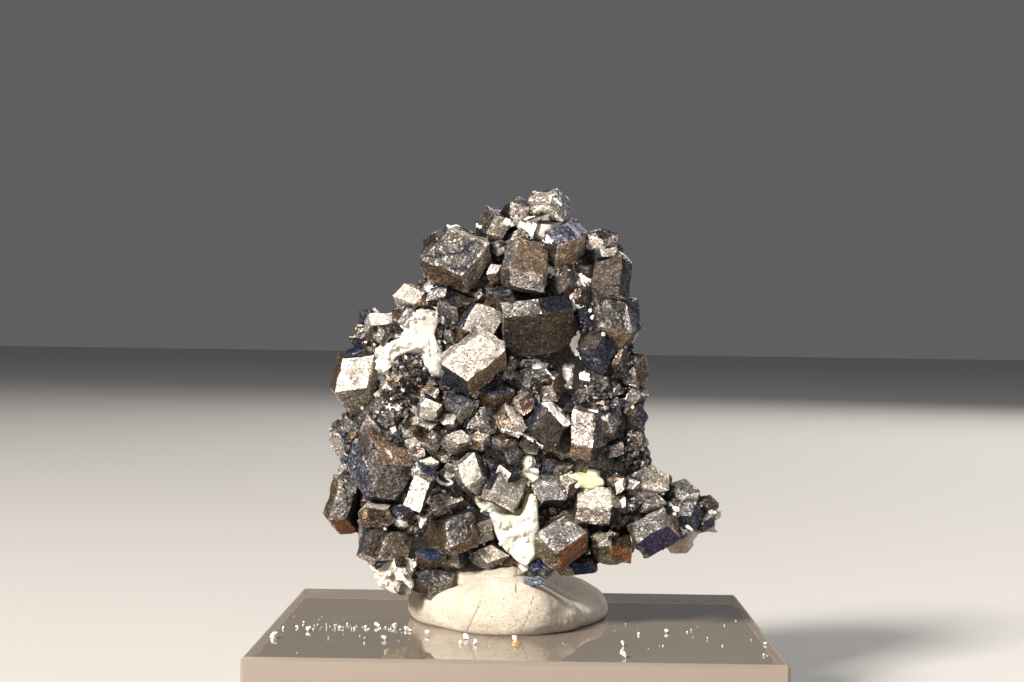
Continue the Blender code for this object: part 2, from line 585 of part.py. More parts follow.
def main():
    for obj in list(bpy.data.objects):
        bpy.data.objects.remove(obj)
    specimen = new_collection("magnetite_specimen", bpy.context.scene.collection)
    guides = new_collection("cutters_and_guides", bpy.context.scene.collection)

    rock = feldspar("feldspar_matrix", specimen, guides, 0.0)
    rock.data.materials.append(material("feldspar", (0.86, 0.84, 0.76), 0.6))
    feldspar_cut = new_collection("feldspar_cut", guides)
    guide(feldspar("feldspar_cutter", feldspar_cut, guides, CLEARANCE))

    crystals = magnetite("magnetite_crystals", specimen, guides, feldspar_cut)
    crystals.data.materials.append(material("magnetite", (0.10, 0.095, 0.10), 0.35, 0.9))

    chip = hull_object("magnetite_chip", outlined_crystal(CHIP), specimen)
    chip.data.materials.append(material("magnetite_chip", (0.16, 0.18, 0.22), 0.35, 0.9))

    pressed_in = new_collection("pressed_into_putty", guides)
    guide(feldspar("pressed_feldspar", pressed_in, guides, CLEARANCE))
    guide(bed("pressed_bed", pressed_in, CLEARANCE))
    crystal_solids("pressed", pressed_in, CLEARANCE, PUTTY_MIDDLE.z + 8.0)
    guide(hull_object("pressed_chip", outlined_crystal(CHIP, CLEARANCE), pressed_in))
    pat = putty("mounting_putty", specimen)
    boolean(pat, "DIFFERENCE", pressed_in)
    pat.data.materials.append(material("putty", (0.72, 0.66, 0.55), 0.85))

    base = slab("acrylic_base", specimen)
    base.data.materials.append(material("acrylic", (0.92, 0.94, 0.95), 0.05, 0.0, 0.35))


main()
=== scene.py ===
"""The looks of a magnetite specimen: crystals on white feldspar, in putty on a clear acrylic slab.

The front faces -Y, +X is to the right and +Z is up. Lengths are in millimetres until MM is applied.
"""

import math

import bmesh
import bpy
import numpy as np
from mathutils import Matrix, Vector, geometry, kdtree
from mathutils.bvhtree import BVHTree


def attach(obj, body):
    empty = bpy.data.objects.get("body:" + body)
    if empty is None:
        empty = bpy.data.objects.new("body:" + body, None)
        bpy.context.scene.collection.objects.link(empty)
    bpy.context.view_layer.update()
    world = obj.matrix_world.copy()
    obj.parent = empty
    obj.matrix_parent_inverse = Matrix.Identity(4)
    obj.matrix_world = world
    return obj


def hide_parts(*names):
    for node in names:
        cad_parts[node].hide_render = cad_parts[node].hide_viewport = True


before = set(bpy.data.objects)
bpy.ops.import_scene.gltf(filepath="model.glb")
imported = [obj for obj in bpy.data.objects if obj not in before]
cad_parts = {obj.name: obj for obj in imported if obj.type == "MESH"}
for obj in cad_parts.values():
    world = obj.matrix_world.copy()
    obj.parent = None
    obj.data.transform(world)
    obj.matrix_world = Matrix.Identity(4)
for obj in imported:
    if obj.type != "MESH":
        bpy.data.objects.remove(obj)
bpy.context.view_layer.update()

MM = 0.001

# The viewer. A long lens a hand's breadth away, level with the middle of the specimen. It points a
# little to the left and down, and the picture's right side hangs a little lower.
EYE = Vector((1.1, -208.1, 39.15))
FOCAL_LENGTH = 71.05
SENSOR_WIDTH = 36.0
NEAREST_SEEN = 0.01
YAW_LEFT, PITCH_DOWN, ROLL = (math.radians(angle) for angle in (0.567, 0.19, 0.8))

ahead = Vector((-math.sin(YAW_LEFT), math.cos(YAW_LEFT), -math.sin(PITCH_DOWN))).normalized()
level = ahead.cross(Vector((0, 0, 1))).normalized()
upright = level.cross(ahead)
rightward = level * math.cos(ROLL) + upright * math.sin(ROLL)
upward = upright * math.cos(ROLL) - level * math.sin(ROLL)
lens = bpy.data.cameras.new("viewer")
lens.lens = FOCAL_LENGTH
lens.sensor_width = SENSOR_WIDTH
lens.clip_start = NEAREST_SEEN
viewer = bpy.data.objects.new("viewer", lens)
bpy.context.scene.collection.objects.link(viewer)
aim = Matrix((rightward, upward, -ahead)).transposed().to_4x4()
viewer.matrix_world = Matrix.Translation(EYE * MM) @ aim
bpy.context.scene.camera = viewer

# The floor and the light. A plain pale floor, one warm lamp to the upper left in front, as the low sun
# stood, a weak cool one to the right, and a third behind for the back of the specimen.
FLOOR_WIDTH = 8.0
FLOOR_COLOUR = (0.56, 0.55, 0.53, 1)
FLOOR_ROUGHNESS = 0.7
ROOM_COLOUR = (0.115, 0.115, 0.12, 1)
LIT_POINT = Vector((0, 0, 0.03))
# Each lamp's place and width in metres, its power and its colour.
LAMPS = {
    "key": (Vector((-0.43, -0.55, 0.45)), 0.16, 15.8, (1.0, 0.935, 0.85)),
    "fill": (Vector((0.75, -0.25, 0.35)), 0.5, 1.2, (0.72, 0.82, 1.0)),
    "rear": (Vector((0.35, 0.7, 0.5)), 0.4, 4.0, (1.0, 0.95, 0.88)),
}


def set_up(tree, node, **values):
    """Sets a node's properties, or its sockets by name. An output of another node is linked."""
    for key, value in values.items():
        if key in node.bl_rna.properties:
            setattr(node, key, value)
        elif isinstance(value, bpy.types.NodeSocket):
            tree.links.new(value, node.inputs[key.replace("_", " ")])
        else:
            node.inputs[key.replace("_", " ")].default_value = value


def plain_material(name, colour, roughness):
    """A Principled material of one colour, and its shader and node tree."""
    made = bpy.data.materials.new(name)
    made.use_nodes = True
    shader = made.node_tree.nodes["Principled BSDF"]
    set_up(made.node_tree, shader, Base_Color=colour, Roughness=roughness)
    return made, shader, made.node_tree


bpy.ops.mesh.primitive_plane_add(size=FLOOR_WIDTH)
floor = bpy.context.object
floor.name = "floor"
floor.data.materials.append(plain_material("floor", FLOOR_COLOUR, FLOOR_ROUGHNESS)[0])
for name, (place, width, power, colour) in LAMPS.items():
    light = bpy.data.lights.new(name, "AREA")
    light.size = width
    light.energy = power
    light.color = colour
    lamp = bpy.data.objects.new(name, light)
    bpy.context.scene.collection.objects.link(lamp)
    lamp.location = place
    lamp.rotation_euler = (place - LIT_POINT).to_track_quat("Z", "Y").to_euler()
room = bpy.data.worlds.new("room")
room.use_nodes = True
room.node_tree.nodes["Background"].inputs["Color"].default_value = ROOM_COLOUR
bpy.context.scene.world = room
bpy.context.scene.view_settings.view_transform = "Standard"

# The slab. Clear acrylic, polished above and below. Its walls are as the saw left them, matte and
# ribbed, so the back and side walls show through the top as cream bands.
SLAB_WIDTH = 50.0
SLAB_TOP = 9.5
# A narrow rim round the top and bottom is painted in the sawn walls' colour and dullness: painted light, a
# glow that stands in for the lit walls seen through the top.
RIM_WIDTH = 0.8
ACRYLIC_INDEX = 1.49
ACRYLIC_COLOUR = (0.88, 0.74, 0.60, 1)
SAWN_COLOUR = (0.60, 0.505, 0.415, 1)
POLISHED_ROUGHNESS = 0.02
SAWN_ROUGHNESS = 0.62
# Dust and fine scratches dull the top, and the sawn walls more so.
TOP_CLEARNESS = 0.74
WALL_CLEARNESS = 0.66
# The ribs stand upright: their width and depth, and how much the pattern is drawn out along each axis.
SAW_RIB = 0.35
SAW_DEPTH = 0.05
SAW_STRETCH = (1, 1, 0.15)
# A surface counts as a wall once its normal's upright part has fallen from the first to the second.
WALL_STEEPNESS = (0.95, 0.6)


def node_of(tree, kind, *sources, **values):
    """Adds a node, sets it up by name, and links outputs without a name to its sockets in order."""
    made = tree.nodes.new("ShaderNode" + kind)
    set_up(tree, made, **values)
    for source, socket in zip(sources, made.inputs):
        tree.links.new(source, socket)
    return made


def arithmetic(tree, operation, *sources):
    """The result of one step of arithmetic on one or two outputs."""
    return node_of(tree, "Math", *sources, operation=operation).outputs[0]


def share_of(tree, value, none, full):
    """The share, 0 to 1, that a value has gone from one end of a range to the other."""
    return node_of(tree, "MapRange", Value=value, From_Min=none, From_Max=full).outputs[0]


def mixed(tree, share, first, second, **kind):
    """A colour, or a value of another kind, between the first at share 0 and the second at 1."""
    kind = {"data_type": "RGBA", **kind}
    return node_of(tree, "Mix", **kind, Factor=share, A=first, B=second).outputs["Result"]


def noise(tree, place, size, detail, roughness=0.5):
    """Cloudy noise from 0 to 1, with patches of about this size in millimetres."""
    scale = 1 / (size * MM)
    return node_of(
        tree, "TexNoise", Vector=place, Scale=scale, Detail=detail, Roughness=roughness
    ).outputs["Fac"]


def emboss(tree, shader, height, strength, depth):
    """Makes a height from 0 to 1 show in the light as relief of this depth in millimetres."""
    relief = node_of(tree, "Bump", Height=height, Strength=strength, Distance=depth * MM)
    set_up(tree, shader, Normal=relief.outputs[0])


acrylic, shader, tree = plain_material("acrylic", ACRYLIC_COLOUR, POLISHED_ROUGHNESS)
place = node_of(tree, "TexCoord").outputs["Object"]
facing = node_of(tree, "SeparateXYZ", node_of(tree, "NewGeometry").outputs["Normal"])
wall = share_of(tree, arithmetic(tree, "ABSOLUTE", facing.outputs["Z"]), *WALL_STEEPNESS)
axes = node_of(tree, "SeparateXYZ", place).outputs
off_middle = arithmetic(tree, "MAXIMUM", *(arithmetic(tree, "ABSOLUTE", axes[axis]) for axis in "XY"))
# The rim is painted light: a glow in the sawn walls' colour along the edges of the top and bottom.
rim = share_of(tree, off_middle, (SLAB_WIDTH / 2 - RIM_WIDTH) * MM, SLAB_WIDTH / 2 * MM)
frosted_walls_and_glow_rim = arithmetic(tree, "MAXIMUM", rim, wall)
set_up(
    tree, shader, IOR=ACRYLIC_INDEX, Base_Color=mixed(tree, frosted_walls_and_glow_rim, ACRYLIC_COLOUR, SAWN_COLOUR),
    Roughness=mixed(tree, frosted_walls_and_glow_rim, POLISHED_ROUGHNESS, SAWN_ROUGHNESS, data_type="FLOAT"),
    Transmission_Weight=mixed(tree, frosted_walls_and_glow_rim, TOP_CLEARNESS, WALL_CLEARNESS, data_type="FLOAT"),
)
drawn_out = node_of(tree, "Mapping", Vector=place, Scale=SAW_STRETCH).outputs[0]
ribs = arithmetic(tree, "MULTIPLY", noise(tree, drawn_out, SAW_RIB, 3.0), frosted_walls_and_glow_rim)
emboss(tree, shader, ribs, 0.5, SAW_DEPTH)
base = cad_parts["acrylic_base"]
base.data.materials.clear()
base.data.materials.append(acrylic)

# The putty. A pat of sandy mineral putty pressed flat round the foot of the specimen, with hairline
# cracks from drying. A superellipse from the slab up, carried round the outline.
PUTTY_MIDDLE = (-0.5, 1.5)
PUTTY_HEIGHT = 6.5
# The right side is lower by this share of the height.
PUTTY_FALL = 0.47
# The pat's outline, as the direction in degrees and the reach, and how much wider it is pressed.
PUTTY_OUTLINE = (
    (0, 9.0), (22, 10.6), (44, 13.6), (66, 12.8), (90, 11.6), (120, 11.4), (155, 11.6), (186, 10.4),
    (212, 9.9), (228, 9.8), (252, 11.5), (268, 11.9), (282, 11.1), (298, 10.2), (328, 8.3),
)
PUTTY_SPREAD = 1.04
PUTTY_SQUARENESS = 2.7
# Its foot draws in a little just above the slab: by what share, and over what share of the height.
FOOT_DRAWN_IN = (0.07, 0.12)
PUTTY_AROUND = 384
PUTTY_UP = 96
# Rounded lumps of the kneading: height, size and seed.
PUTTY_LUMPS = ((0.40, 4.5, 1), (0.12, 1.4, 2), (0.05, 0.45, 3))
# Folds below this height: how deep and how far apart.
FOLDS_BELOW = 15.0
FOLD_DEPTH, FOLD_SIZE = 0.55, 6.0
# Hairline cracks on the front, as the sideways place and height of their bends, and their half width.
CRACKS = (
    ((-5.0, 9.6), (-4.4, 11.0), (-3.6, 12.8)), ((0.4, 10.0), (1.0, 11.3), (1.4, 13.0)),
    ((-0.1, 15.4), (-0.2, 13.6)),
)
CRACK_HALF_WIDTH = 0.12
CRACK_DEPTH = 0.04
# The lobe at the left is pinched off by a crease.
CREASE = ((-10.0, 12.6), (-6.0, 14.6))
CREASE_DEPTH, CREASE_REACH = 0.55, 0.35
# The pat bulges under the loose chip, as its middle, reach and height.
CHIP_SEAT = ((1.6, -8.3, 13.7), 2.6, 1.15)
PUTTY_COLOUR = (0.70, 0.62, 0.49, 1)
PUTTY_SHADES = ((0.3, (0.66, 0.57, 0.46, 1)), (0.7, (0.84, 0.76, 0.64, 1)))
PORE_SHADES = ((0.34, (0.40, 0.36, 0.30, 1)), (0.5, (1, 1, 1, 1)))
PORE_STRENGTH = 0.6
SPECK_COLOUR = (0.10, 0.08, 0.06, 1)
CRACK_COLOUR = (0.20, 0.19, 0.14, 1)
PATCH_SIZE, SPECK_GAP, PORE_SIZE, SAND_SIZE = 2.2, 0.85, 0.18, 0.3
SAND_DEPTH = 0.32


def waver(points, size, seed):
    """Smooth random values from -1 to 1 that change over about this size.

    Each corner of a point's lattice cell has a hashed value, and the point blends the eight of them
    with weights 3t^2 - 2t^3 along each axis."""
    cell = np.asarray(points) / size
    corner = np.floor(cell).astype(np.int64)
    share = cell - corner
    share = share * share * (3 - 2 * share)
    total = np.zeros(len(cell))
    for step in np.ndindex(2, 2, 2):
        at = corner + step
        hashed = at[:, 0] * 73856093 ^ at[:, 1] * 19349663 ^ at[:, 2] * 83492791 ^ seed * 2654435761
        hashed = (hashed ^ (hashed >> 13)) * 1274126177 & 0x7FFFFFFF
        value = ((hashed ^ (hashed >> 15)) & 0xFFFF) / 32767.5 - 1
        total += value * np.prod(np.where(step, share, 1 - share), axis=1)
    return total


def distance_to_line(points, line):
    """Distance from each point, flat or in space, to the nearest of a line's straight stretches."""
    nearest = np.full(len(points), np.inf)
    for start, end in zip(np.array(line[:-1]), np.array(line[1:])):
        along = end - start
        share = np.clip((points - start) @ along / (along @ along), 0, 1)
        nearest = np.minimum(nearest, np.linalg.norm(points - start - share[:, None] * along, axis=1))
    return nearest


def piece_from(name, points, faces, made_of, replaced=(), slot=None):
    """A mesh object from arrays in millimetres, riding on the one body."""
    mesh = bpy.data.meshes.new(name)
    mesh.from_pydata(np.asarray(points) * MM, [], faces)
    mesh.update()
    made = bpy.data.objects.new(name, mesh)
    bpy.context.scene.collection.objects.link(made)
    mesh.materials.append(made_of)
    if replaced:
        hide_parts(*replaced)
    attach(made, "root")
    return made


def mark(piece, name, values, domain="POINT"):
    """Gives each point, corner or face a value, or a row of three as a vector or four as a colour."""
    width = 1 if values.ndim == 1 else values.shape[1]
    kind, key = {1: ("FLOAT", "value"), 3: ("FLOAT_VECTOR", "vector"), 4: ("FLOAT_COLOR", "color")}[width]
    layer = piece.data.attributes.new(name, kind, domain)
    layer.data.foreach_set(key, values.astype(np.float32).ravel())


def closed_grid(rings, around):
    """Faces of rings of points, each joined to the next, with one point at the first and last end."""
    k = np.arange(around)
    following = (k + 1) % around
    first = [(0, 1 + b, 1 + a) for a, b in zip(k, following)]
    sides = np.concatenate([
        np.stack([1 + r * around + k, 1 + r * around + following,
                  1 + (r + 1) * around + following, 1 + (r + 1) * around + k], 1)
        for r in range(rings - 1)
    ])
    last = 1 + rings * around
    top = [(last, last - around + a, last - around + b) for a, b in zip(k, following)]
    return first + sides.tolist() + top


def marked(tree, name):
    """The outputs of a piece's own mark."""
    return node_of(tree, "Attribute", attribute_name=name).outputs


def shades_of(tree, value, *stops):
    """The colour that belongs to a value, between stops of a value and a colour."""
    made = node_of(tree, "ValToRGB", Fac=value)
    steps = made.color_ramp.elements
    for step, (position, colour) in zip(steps, (stops[0], stops[-1])):
        step.position, step.color = position, colour
    for position, colour in stops[1:-1]:
        steps.new(position).color = colour
    return made.outputs["Color"]


angle = np.linspace(0, 2 * np.pi, PUTTY_AROUND, endpoint=False)
corners = np.array(PUTTY_OUTLINE, float)
reach = np.interp(np.degrees(angle), corners[:, 0], corners[:, 1], period=360)
soft = np.exp(-np.linspace(-2, 2, 25) ** 2)
reach = np.convolve(np.tile(reach, 3), soft / soft.sum(), "same")[PUTTY_AROUND:-PUTTY_AROUND]
rise = np.linspace(0, np.pi / 2, PUTTY_UP + 1)[:-1]
across = PUTTY_SPREAD * np.cos(rise) ** (2 / PUTTY_SQUARENESS)
height = np.sin(rise) ** (2 / PUTTY_SQUARENESS)
across = across * (1 - FOOT_DRAWN_IN[0] * np.exp(-height / FOOT_DRAWN_IN[1]))
tall = PUTTY_HEIGHT * (1 - PUTTY_FALL * np.maximum(0, np.cos(angle)))
rings = np.stack([
    PUTTY_MIDDLE[0] + across[:, None] * reach * np.cos(angle),
    PUTTY_MIDDLE[1] + across[:, None] * reach * np.sin(angle),
    SLAB_TOP + height[:, None] * tall,
], -1).reshape(-1, 3)
foot_middle = (*PUTTY_MIDDLE, SLAB_TOP)
outward = rings - foot_middle
outward /= np.linalg.norm(outward, axis=1)[:, None]
lumps = sum(lump * waver(rings, size, seed) for lump, size, seed in PUTTY_LUMPS)
lumps -= FOLD_DEPTH * np.abs(waver(rings, FOLD_SIZE, 5)) * (rings[:, 2] < FOLDS_BELOW)
seat, seat_reach, seat_height = CHIP_SEAT
lumps += seat_height * np.exp(-((rings - seat) ** 2).sum(1) / seat_reach**2)
front = rings[:, 1] < 0
crease = np.exp(-(distance_to_line(rings[:, [0, 2]], CREASE) / CREASE_REACH) ** 2)
creased = np.where(front, crease, 0)
wandering = rings[:, [0, 2]] + 0.12 * waver(rings, 0.6, 4)[:, None]
to_crack = np.min([distance_to_line(wandering, crack) for crack in CRACKS], 0)
cracked = np.where(front, np.minimum(1, to_crack), 1)
# The relief sets in over the first millimetre above the slab.
lift = np.clip(rings[:, 2] - SLAB_TOP, 0, 1)
relief = lumps * lift - CREASE_DEPTH * creased - CRACK_DEPTH * (cracked < CRACK_HALF_WIDTH)
rings += outward * relief[:, None]
putty_points = np.vstack([[foot_middle], rings, [(*PUTTY_MIDDLE, SLAB_TOP + PUTTY_HEIGHT)]])

putty_finish, shader, tree = plain_material("putty", PUTTY_COLOUR, 0.85)
place = node_of(tree, "TexCoord").outputs["Object"]
colour = shades_of(tree, noise(tree, place, PATCH_SIZE, 6.0, 0.65), *PUTTY_SHADES)
grit = node_of(tree, "TexVoronoi", Vector=place, Scale=1 / (SPECK_GAP * MM)).outputs["Distance"]
colour = mixed(tree, share_of(tree, grit, 0.10, 0.06), colour, SPECK_COLOUR)
colour = mixed(tree, share_of(tree, marked(tree, "crack")["Fac"], 0.09, 0.03), colour, CRACK_COLOUR)
pores = shades_of(tree, noise(tree, place, PORE_SIZE, 3.0, 0.8), *PORE_SHADES)
colour = mixed(tree, PORE_STRENGTH, colour, pores, blend_type="MULTIPLY")
set_up(tree, shader, Base_Color=colour)
emboss(tree, shader, noise(tree, place, SAND_SIZE, 5.0, 0.8), 1.0, SAND_DEPTH)

putty = piece_from(
    "mounting_putty_pat", putty_points, closed_grid(PUTTY_UP, PUTTY_AROUND), putty_finish,
    ("mounting_putty",), "mounting_putty"
)
putty.data.shade_smooth()
mark(putty, "crack", np.concatenate([[1.0], cracked, [1.0]]))

# The magnetite. Dodecahedral crystals grown together on the feldspar. Each flat side of the solid
# is cut into small triangles, which are moved by the grain, ribs and steps of its own growth.
FACE_GRAIN = 0.25
# Sides behind this depth may be coarser by this factor, and sides buried in the feldspar coarser still.
REAR_FROM = 4.0
REAR_COARSER = 1.6
COARSE_GRAIN = 1.6
BURIED_GAP = 0.42
# An edge is a real one past this angle, and a strong one past twice that.
REAL_EDGE = math.radians(12)
# Points with no such edge on their side count as this far away from one.
NO_EDGE = 9.0
# The upright plane in which the places that the viewer sees are given, as x and z.
SEEN_PLANE = -7.0
# The growth of a face dies out this near its edges. Heights of its grain, swells, ribs and plates.
EDGE_REACH = 0.35
GRAIN_HEIGHT, SWELL_HEIGHT, RIB_HEIGHT, PLATE_HEIGHT = 0.014, 0.010, 0.02, 0.035
# Coarse ribs are modelled, and fine ones stand in the finish.
COARSE_RIB = 0.62
FINE_RIB = 0.21
FACET_SIZE, FACET_TILT = 2.3, 0.055
PIT_DEPTH = 0.4
# Treads of the stepped face: how far apart and how high the large and the small ones are.
TREAD_GAP, TREAD_HEIGHT = 0.95, 0.24
SMALL_TREAD_GAP, SMALL_TREAD_HEIGHT = 0.31, 0.07
EDGE_WEAR, WEAR_REACH = 0.17, 0.22
# Two sizes of smooth random shift that keep anything from being quite straight: height, size, seeds.
WARPS = ((0.17, 2.8, (41, 42, 43)), (0.05, 0.9, (44, 45, 46)))

# How a crystal face looks: colour, roughness, how grainy and how ribbed it is, and how metallic.
# The palest faces are partly frosted by fine growth steps and partly painted light, a painted highlight
# where the sun lit them, and they scatter light more than they mirror it. The darkest are partly painted
# shade.
FINISHES_AND_PAINTED_LIGHT = {
    "white": ((0.74, 0.69, 0.64), 0.55, 0.6, 0.0, 0.10),
    "tan": ((0.20, 0.145, 0.105), 0.48, 0.9, 0.2, 0.50),
    "umber": ((0.036, 0.028, 0.023), 0.62, 1.0, 0.2, 0.60),
    "steel": ((0.165, 0.155, 0.148), 0.48, 1.0, 0.0, 0.65),
    "bright": ((0.54, 0.49, 0.43), 0.50, 0.8, 0.0, 0.30),
    "rose": ((0.27, 0.235, 0.218), 0.46, 1.0, 0.1, 0.45),
    "sand": ((0.30, 0.262, 0.215), 0.48, 0.9, 0.1, 0.40),
    "dark": ((0.066, 0.060, 0.057), 0.44, 1.0, 0.0, 0.75),
    "brown": ((0.105, 0.076, 0.055), 0.42, 0.9, 0.3, 0.75),
    "rust": ((0.21, 0.10, 0.048), 0.52, 0.7, 0.1, 0.55),
    "olive": ((0.12, 0.105, 0.075), 0.44, 0.8, 0.1, 0.6),
    "blue": ((0.026, 0.037, 0.086), 0.54, 0.8, 0.0, 0.85),
    "violet": ((0.055, 0.045, 0.095), 0.48, 0.8, 0.0, 0.8),
    "ink": ((0.050, 0.053, 0.070), 0.48, 1.0, 0.1, 0.8),
    "ribbed": ((0.45, 0.41, 0.365), 0.46, 0.7, 1.0, 0.30),
    "slate": ((0.22, 0.205, 0.215), 0.42, 0.6, 0.9, 0.6),
    "stepped": ((0.16, 0.145, 0.132), 0.42, 0.9, 0.1, 0.6),
    "streak": ((0.055, 0.058, 0.08), 0.40, 1.0, 0.1, 0.7),
}
# Faces known by where the viewer sees them, as x and z in the plane at SEEN_PLANE. Each takes the finish
# of its tone as lit, so these are partly painted light: pale finishes paint the sun's highlight on lit
# faces, and dark ones partly paint shade.
SEEN_FACES = {
    "white": (
        (-5.6, 49.9), (-13.6, 40.7), (-2.3, 47.5), (-8.9, 30.8), (-8.8, 33.4), (-6.9, 30.5), (-10.2, 27.0),
        (-1.6, 25.2), (9.9, 24.1), (10.4, 22.1), (17.7, 22.9),
    ),
    "tan": ((4.7, 47.2), (0.9, 47.2), (-3.6, 34.8), (9.8, 39.0), (5.2, 27.4), (-13.0, 27.8), (15.2, 20.4)),
    "umber": (
        (-3.7, 51.2), (3.1, 47.4), (8.6, 44.7), (4.0, 44.1), (5.6, 42.6), (-1.7, 42.6), (-13.3, 38.9),
        (0.0, 39.1), (11.2, 39.0), (6.9, 38.6), (3.3, 34.0), (3.0, 30.0), (-14.6, 18.3), (-6.3, 24.3),
        (9.3, 21.9),
    ),
    "steel": (
        (4.2, 52.2), (-1.4, 46.9), (-14.4, 39.1), (5.8, 33.4), (-13.2, 24.2), (-17.2, 22.6), (-1.3, 27.4),
        (4.1, 19.5), (11.0, 23.9), (16.4, 23.8), (13.0, 22.8), (13.0, 20.2),
    ),
    "bright": (
        (-11.2, 43.4), (3.0, 51.3), (7.8, 48.6), (8.0, 47.4), (-16.8, 35.2), (-4.8, 36.3), (-2.4, 38.8),
        (-9.2, 32.4), (-5.7, 28.4), (8.3, 30.8), (8.6, 28.1), (-0.9, 31.4), (-14.0, 22.0), (-10.1, 23.0),
        (-9.0, 26.1), (-7.6, 26.7), (-4.7, 26.2), (-3.6, 23.8), (-7.0, 22.2), (4.8, 24.0), (7.4, 23.0),
        (13.4, 24.6),
    ),
    "rose": (
        (-3.0, 48.6), (-0.4, 51.2), (1.8, 53.0), (3.0, 52.6), (9.0, 48.3), (0.2, 44.7), (-2.6, 45.2),
        (-5.2, 38.9), (6.0, 30.6), (-0.2, 29.9), (7.1, 21.0),
    ),
    "sand": (
        (-4.3, 46.1), (-2.2, 50.2), (-0.9, 52.2), (0.3, 50.6), (6.2, 47.6), (-14.4, 35.6), (-16.0, 32.3),
        (-12.4, 18.1), (-3.0, 17.0), (9.0, 19.4), (14.3, 25.2),
    ),
    "dark": (
        (-9.3, 48.2), (8.2, 49.6), (10.5, 45.1), (0.0, 41.9), (9.1, 41.1), (1.8, 34.6), (0.5, 28.9),
        (-14.6, 27.2), (-8.5, 14.5), (-5.0, 19.6),
    ),
    "brown": (
        (-7.6, 44.4), (-6.3, 41.6), (-12.0, 31.2), (3.6, 39.6), (9.6, 36.6), (11.5, 36.0), (0.5, 32.4),
        (-14.0, 20.6), (-7.2, 19.3), (18.7, 22.6),
    ),
    "rust": ((-17.4, 19.3), (5.3, 17.5), (10.4, 17.4)),
    "olive": ((-8.4, 16.2), (2.5, 17.4), (8.2, 17.4)),
    "blue": ((5.8, 50.0), (-16.4, 37.6), (-9.3, 17.4), (2.3, 15.9), (5.5, 15.9)),
    "violet": ((13.9, 18.6),),
    "ink": (
        (-16.0, 40.5), (-7.4, 42.7), (4.0, 49.2), (-6.8, 34.4), (-6.0, 32.2), (-17.5, 28.8), (3.5, 42.2),
        (11.4, 40.7), (6.9, 36.5), (8.6, 37.3), (-16.6, 26.0), (2.5, 26.9), (17.3, 21.0), (16.8, 20.4),
    ),
    "ribbed": ((-3.7, 40.8), (-1.1, 23.9), (-1.8, 22.4)),
    "slate": ((2.9, 23.2),),
    "stepped": ((-6.5, 47.6),),
}
# The finishes of the faces that the viewer doesn't see, the commoner ones more than once.
COMMON_FINISHES = ("steel", "dark", "brown", "steel", "ink", "sand", "dark", "rose", "brown")
# Painted shade: dark bluish streaks under the treads of the big stepped face at the upper left, as lines
# in the seen plane.
TREAD_SHADE_STREAKS = (
    ((-10.0, 46.5), (-9.2, 46.8), (-8.3, 46.7)), ((-8.2, 46.9), (-6.8, 47.1), (-5.5, 47.5)),
    ((-5.8, 47.9), (-4.6, 48.4)), ((-7.6, 45.8), (-6.0, 45.7), (-4.6, 46.1)), ((-9.4, 48.2), (-8.2, 48.4)),
)
TREAD_SHADE_HALF_WIDTH = 0.17
# Seams where white feldspar fills the joint between crystals: seen x and z, and how far it spreads.
WHITE_SEAMS = (
    (-5.8, 50.0, 1.4), (1.6, 49.6, 2.2), (3.2, 45.5, 0.8), (6.2, 44.5, 0.9), (-9.1, 43.7, 0.9),
    (1.4, 36.4, 1.8), (3.4, 31.8, 1.6), (5.6, 38.4, 1.1), (6.4, 34.6, 1.0), (-10.2, 38.4, 3.4),
    (-12.4, 36.0, 2.6), (-12.0, 32.0, 1.6), (-7.6, 24.4, 1.0), (-11.6, 20.0, 1.2), (-0.4, 20.4, 3.2),
    (0.8, 23.4, 1.6), (15.3, 22.3, 0.8), (17.0, 19.9, 1.0), (19.6, 21.6, 1.8), (-12.4, 15.0, 2.8),
    (-6.3, 15.6, 1.4), (6.6, 24.6, 1.6), (5.4, 42.2, 1.2), (2.0, 29.0, 1.2), (9.4, 33.4, 1.4),
)
# White veins that cross crystals: half width, and the line in the seen plane.
WHITE_VEINS = (
    (0.42, ((2.0, 33.0), (3.2, 32.1), (4.8, 30.5))), (0.13, ((0.0, 36.6), (1.9, 36.6), (3.4, 34.8))),
    (0.06, ((5.9, 40.6), (5.4, 38.0), (5.5, 37.3), (6.3, 35.5), (6.6, 32.6))),
    (0.26, ((-7.3, 50.0), (-5.8, 50.2), (-4.2, 49.9))), (0.18, ((15.1, 22.7), (15.6, 21.9))),
    (0.35, ((-12.4, 20.3), (-11.4, 20.0), (-10.7, 19.6))), (0.16, ((16.7, 20.3), (17.3, 19.5))),
    (0.16, ((-8.0, 24.4), (-7.2, 24.0), (-6.6, 24.4))), (0.2, ((5.9, 45.1), (6.5, 44.1))),
    (0.3, ((-1.6, 50.4), (0.6, 49.6), (2.7, 48.5))), (0.18, ((3.0, 45.7), (3.5, 45.2))),
    (0.12, ((-1.8, 29.6), (0.2, 29.2), (2.2, 28.0))), (0.14, ((3.2, 52.8), (3.8, 52.2))),
)
# The film and the veins end at this depth.
FILM_BACK = 1.0
FILM_COLOUR = (0.86, 0.84, 0.79, 1)
FILM_ROUGHNESS = 0.6
# Flecks of the metal, dark and light: the light ones are painted glints, standing in for grains that catch
# the light each their own way. Share of them, and how light.
FLECK_SIZE = 0.15
FLECK_GLINT_SHADES = (
    (0, (0.06, 0.06, 0.06, 1)), (0.24, (0.70, 0.70, 0.70, 1)), (0.82, (1.10, 1.10, 1.10, 1)),
    (1, (3.2, 3.1, 3.0, 1)),
)
# Cloudy patches on a face: size, and how dark and how light they make it.
PATCH = (0.9, 0.70, 1.32)
FINE_GRAIN, FINE_DEPTH = 0.11, 0.022


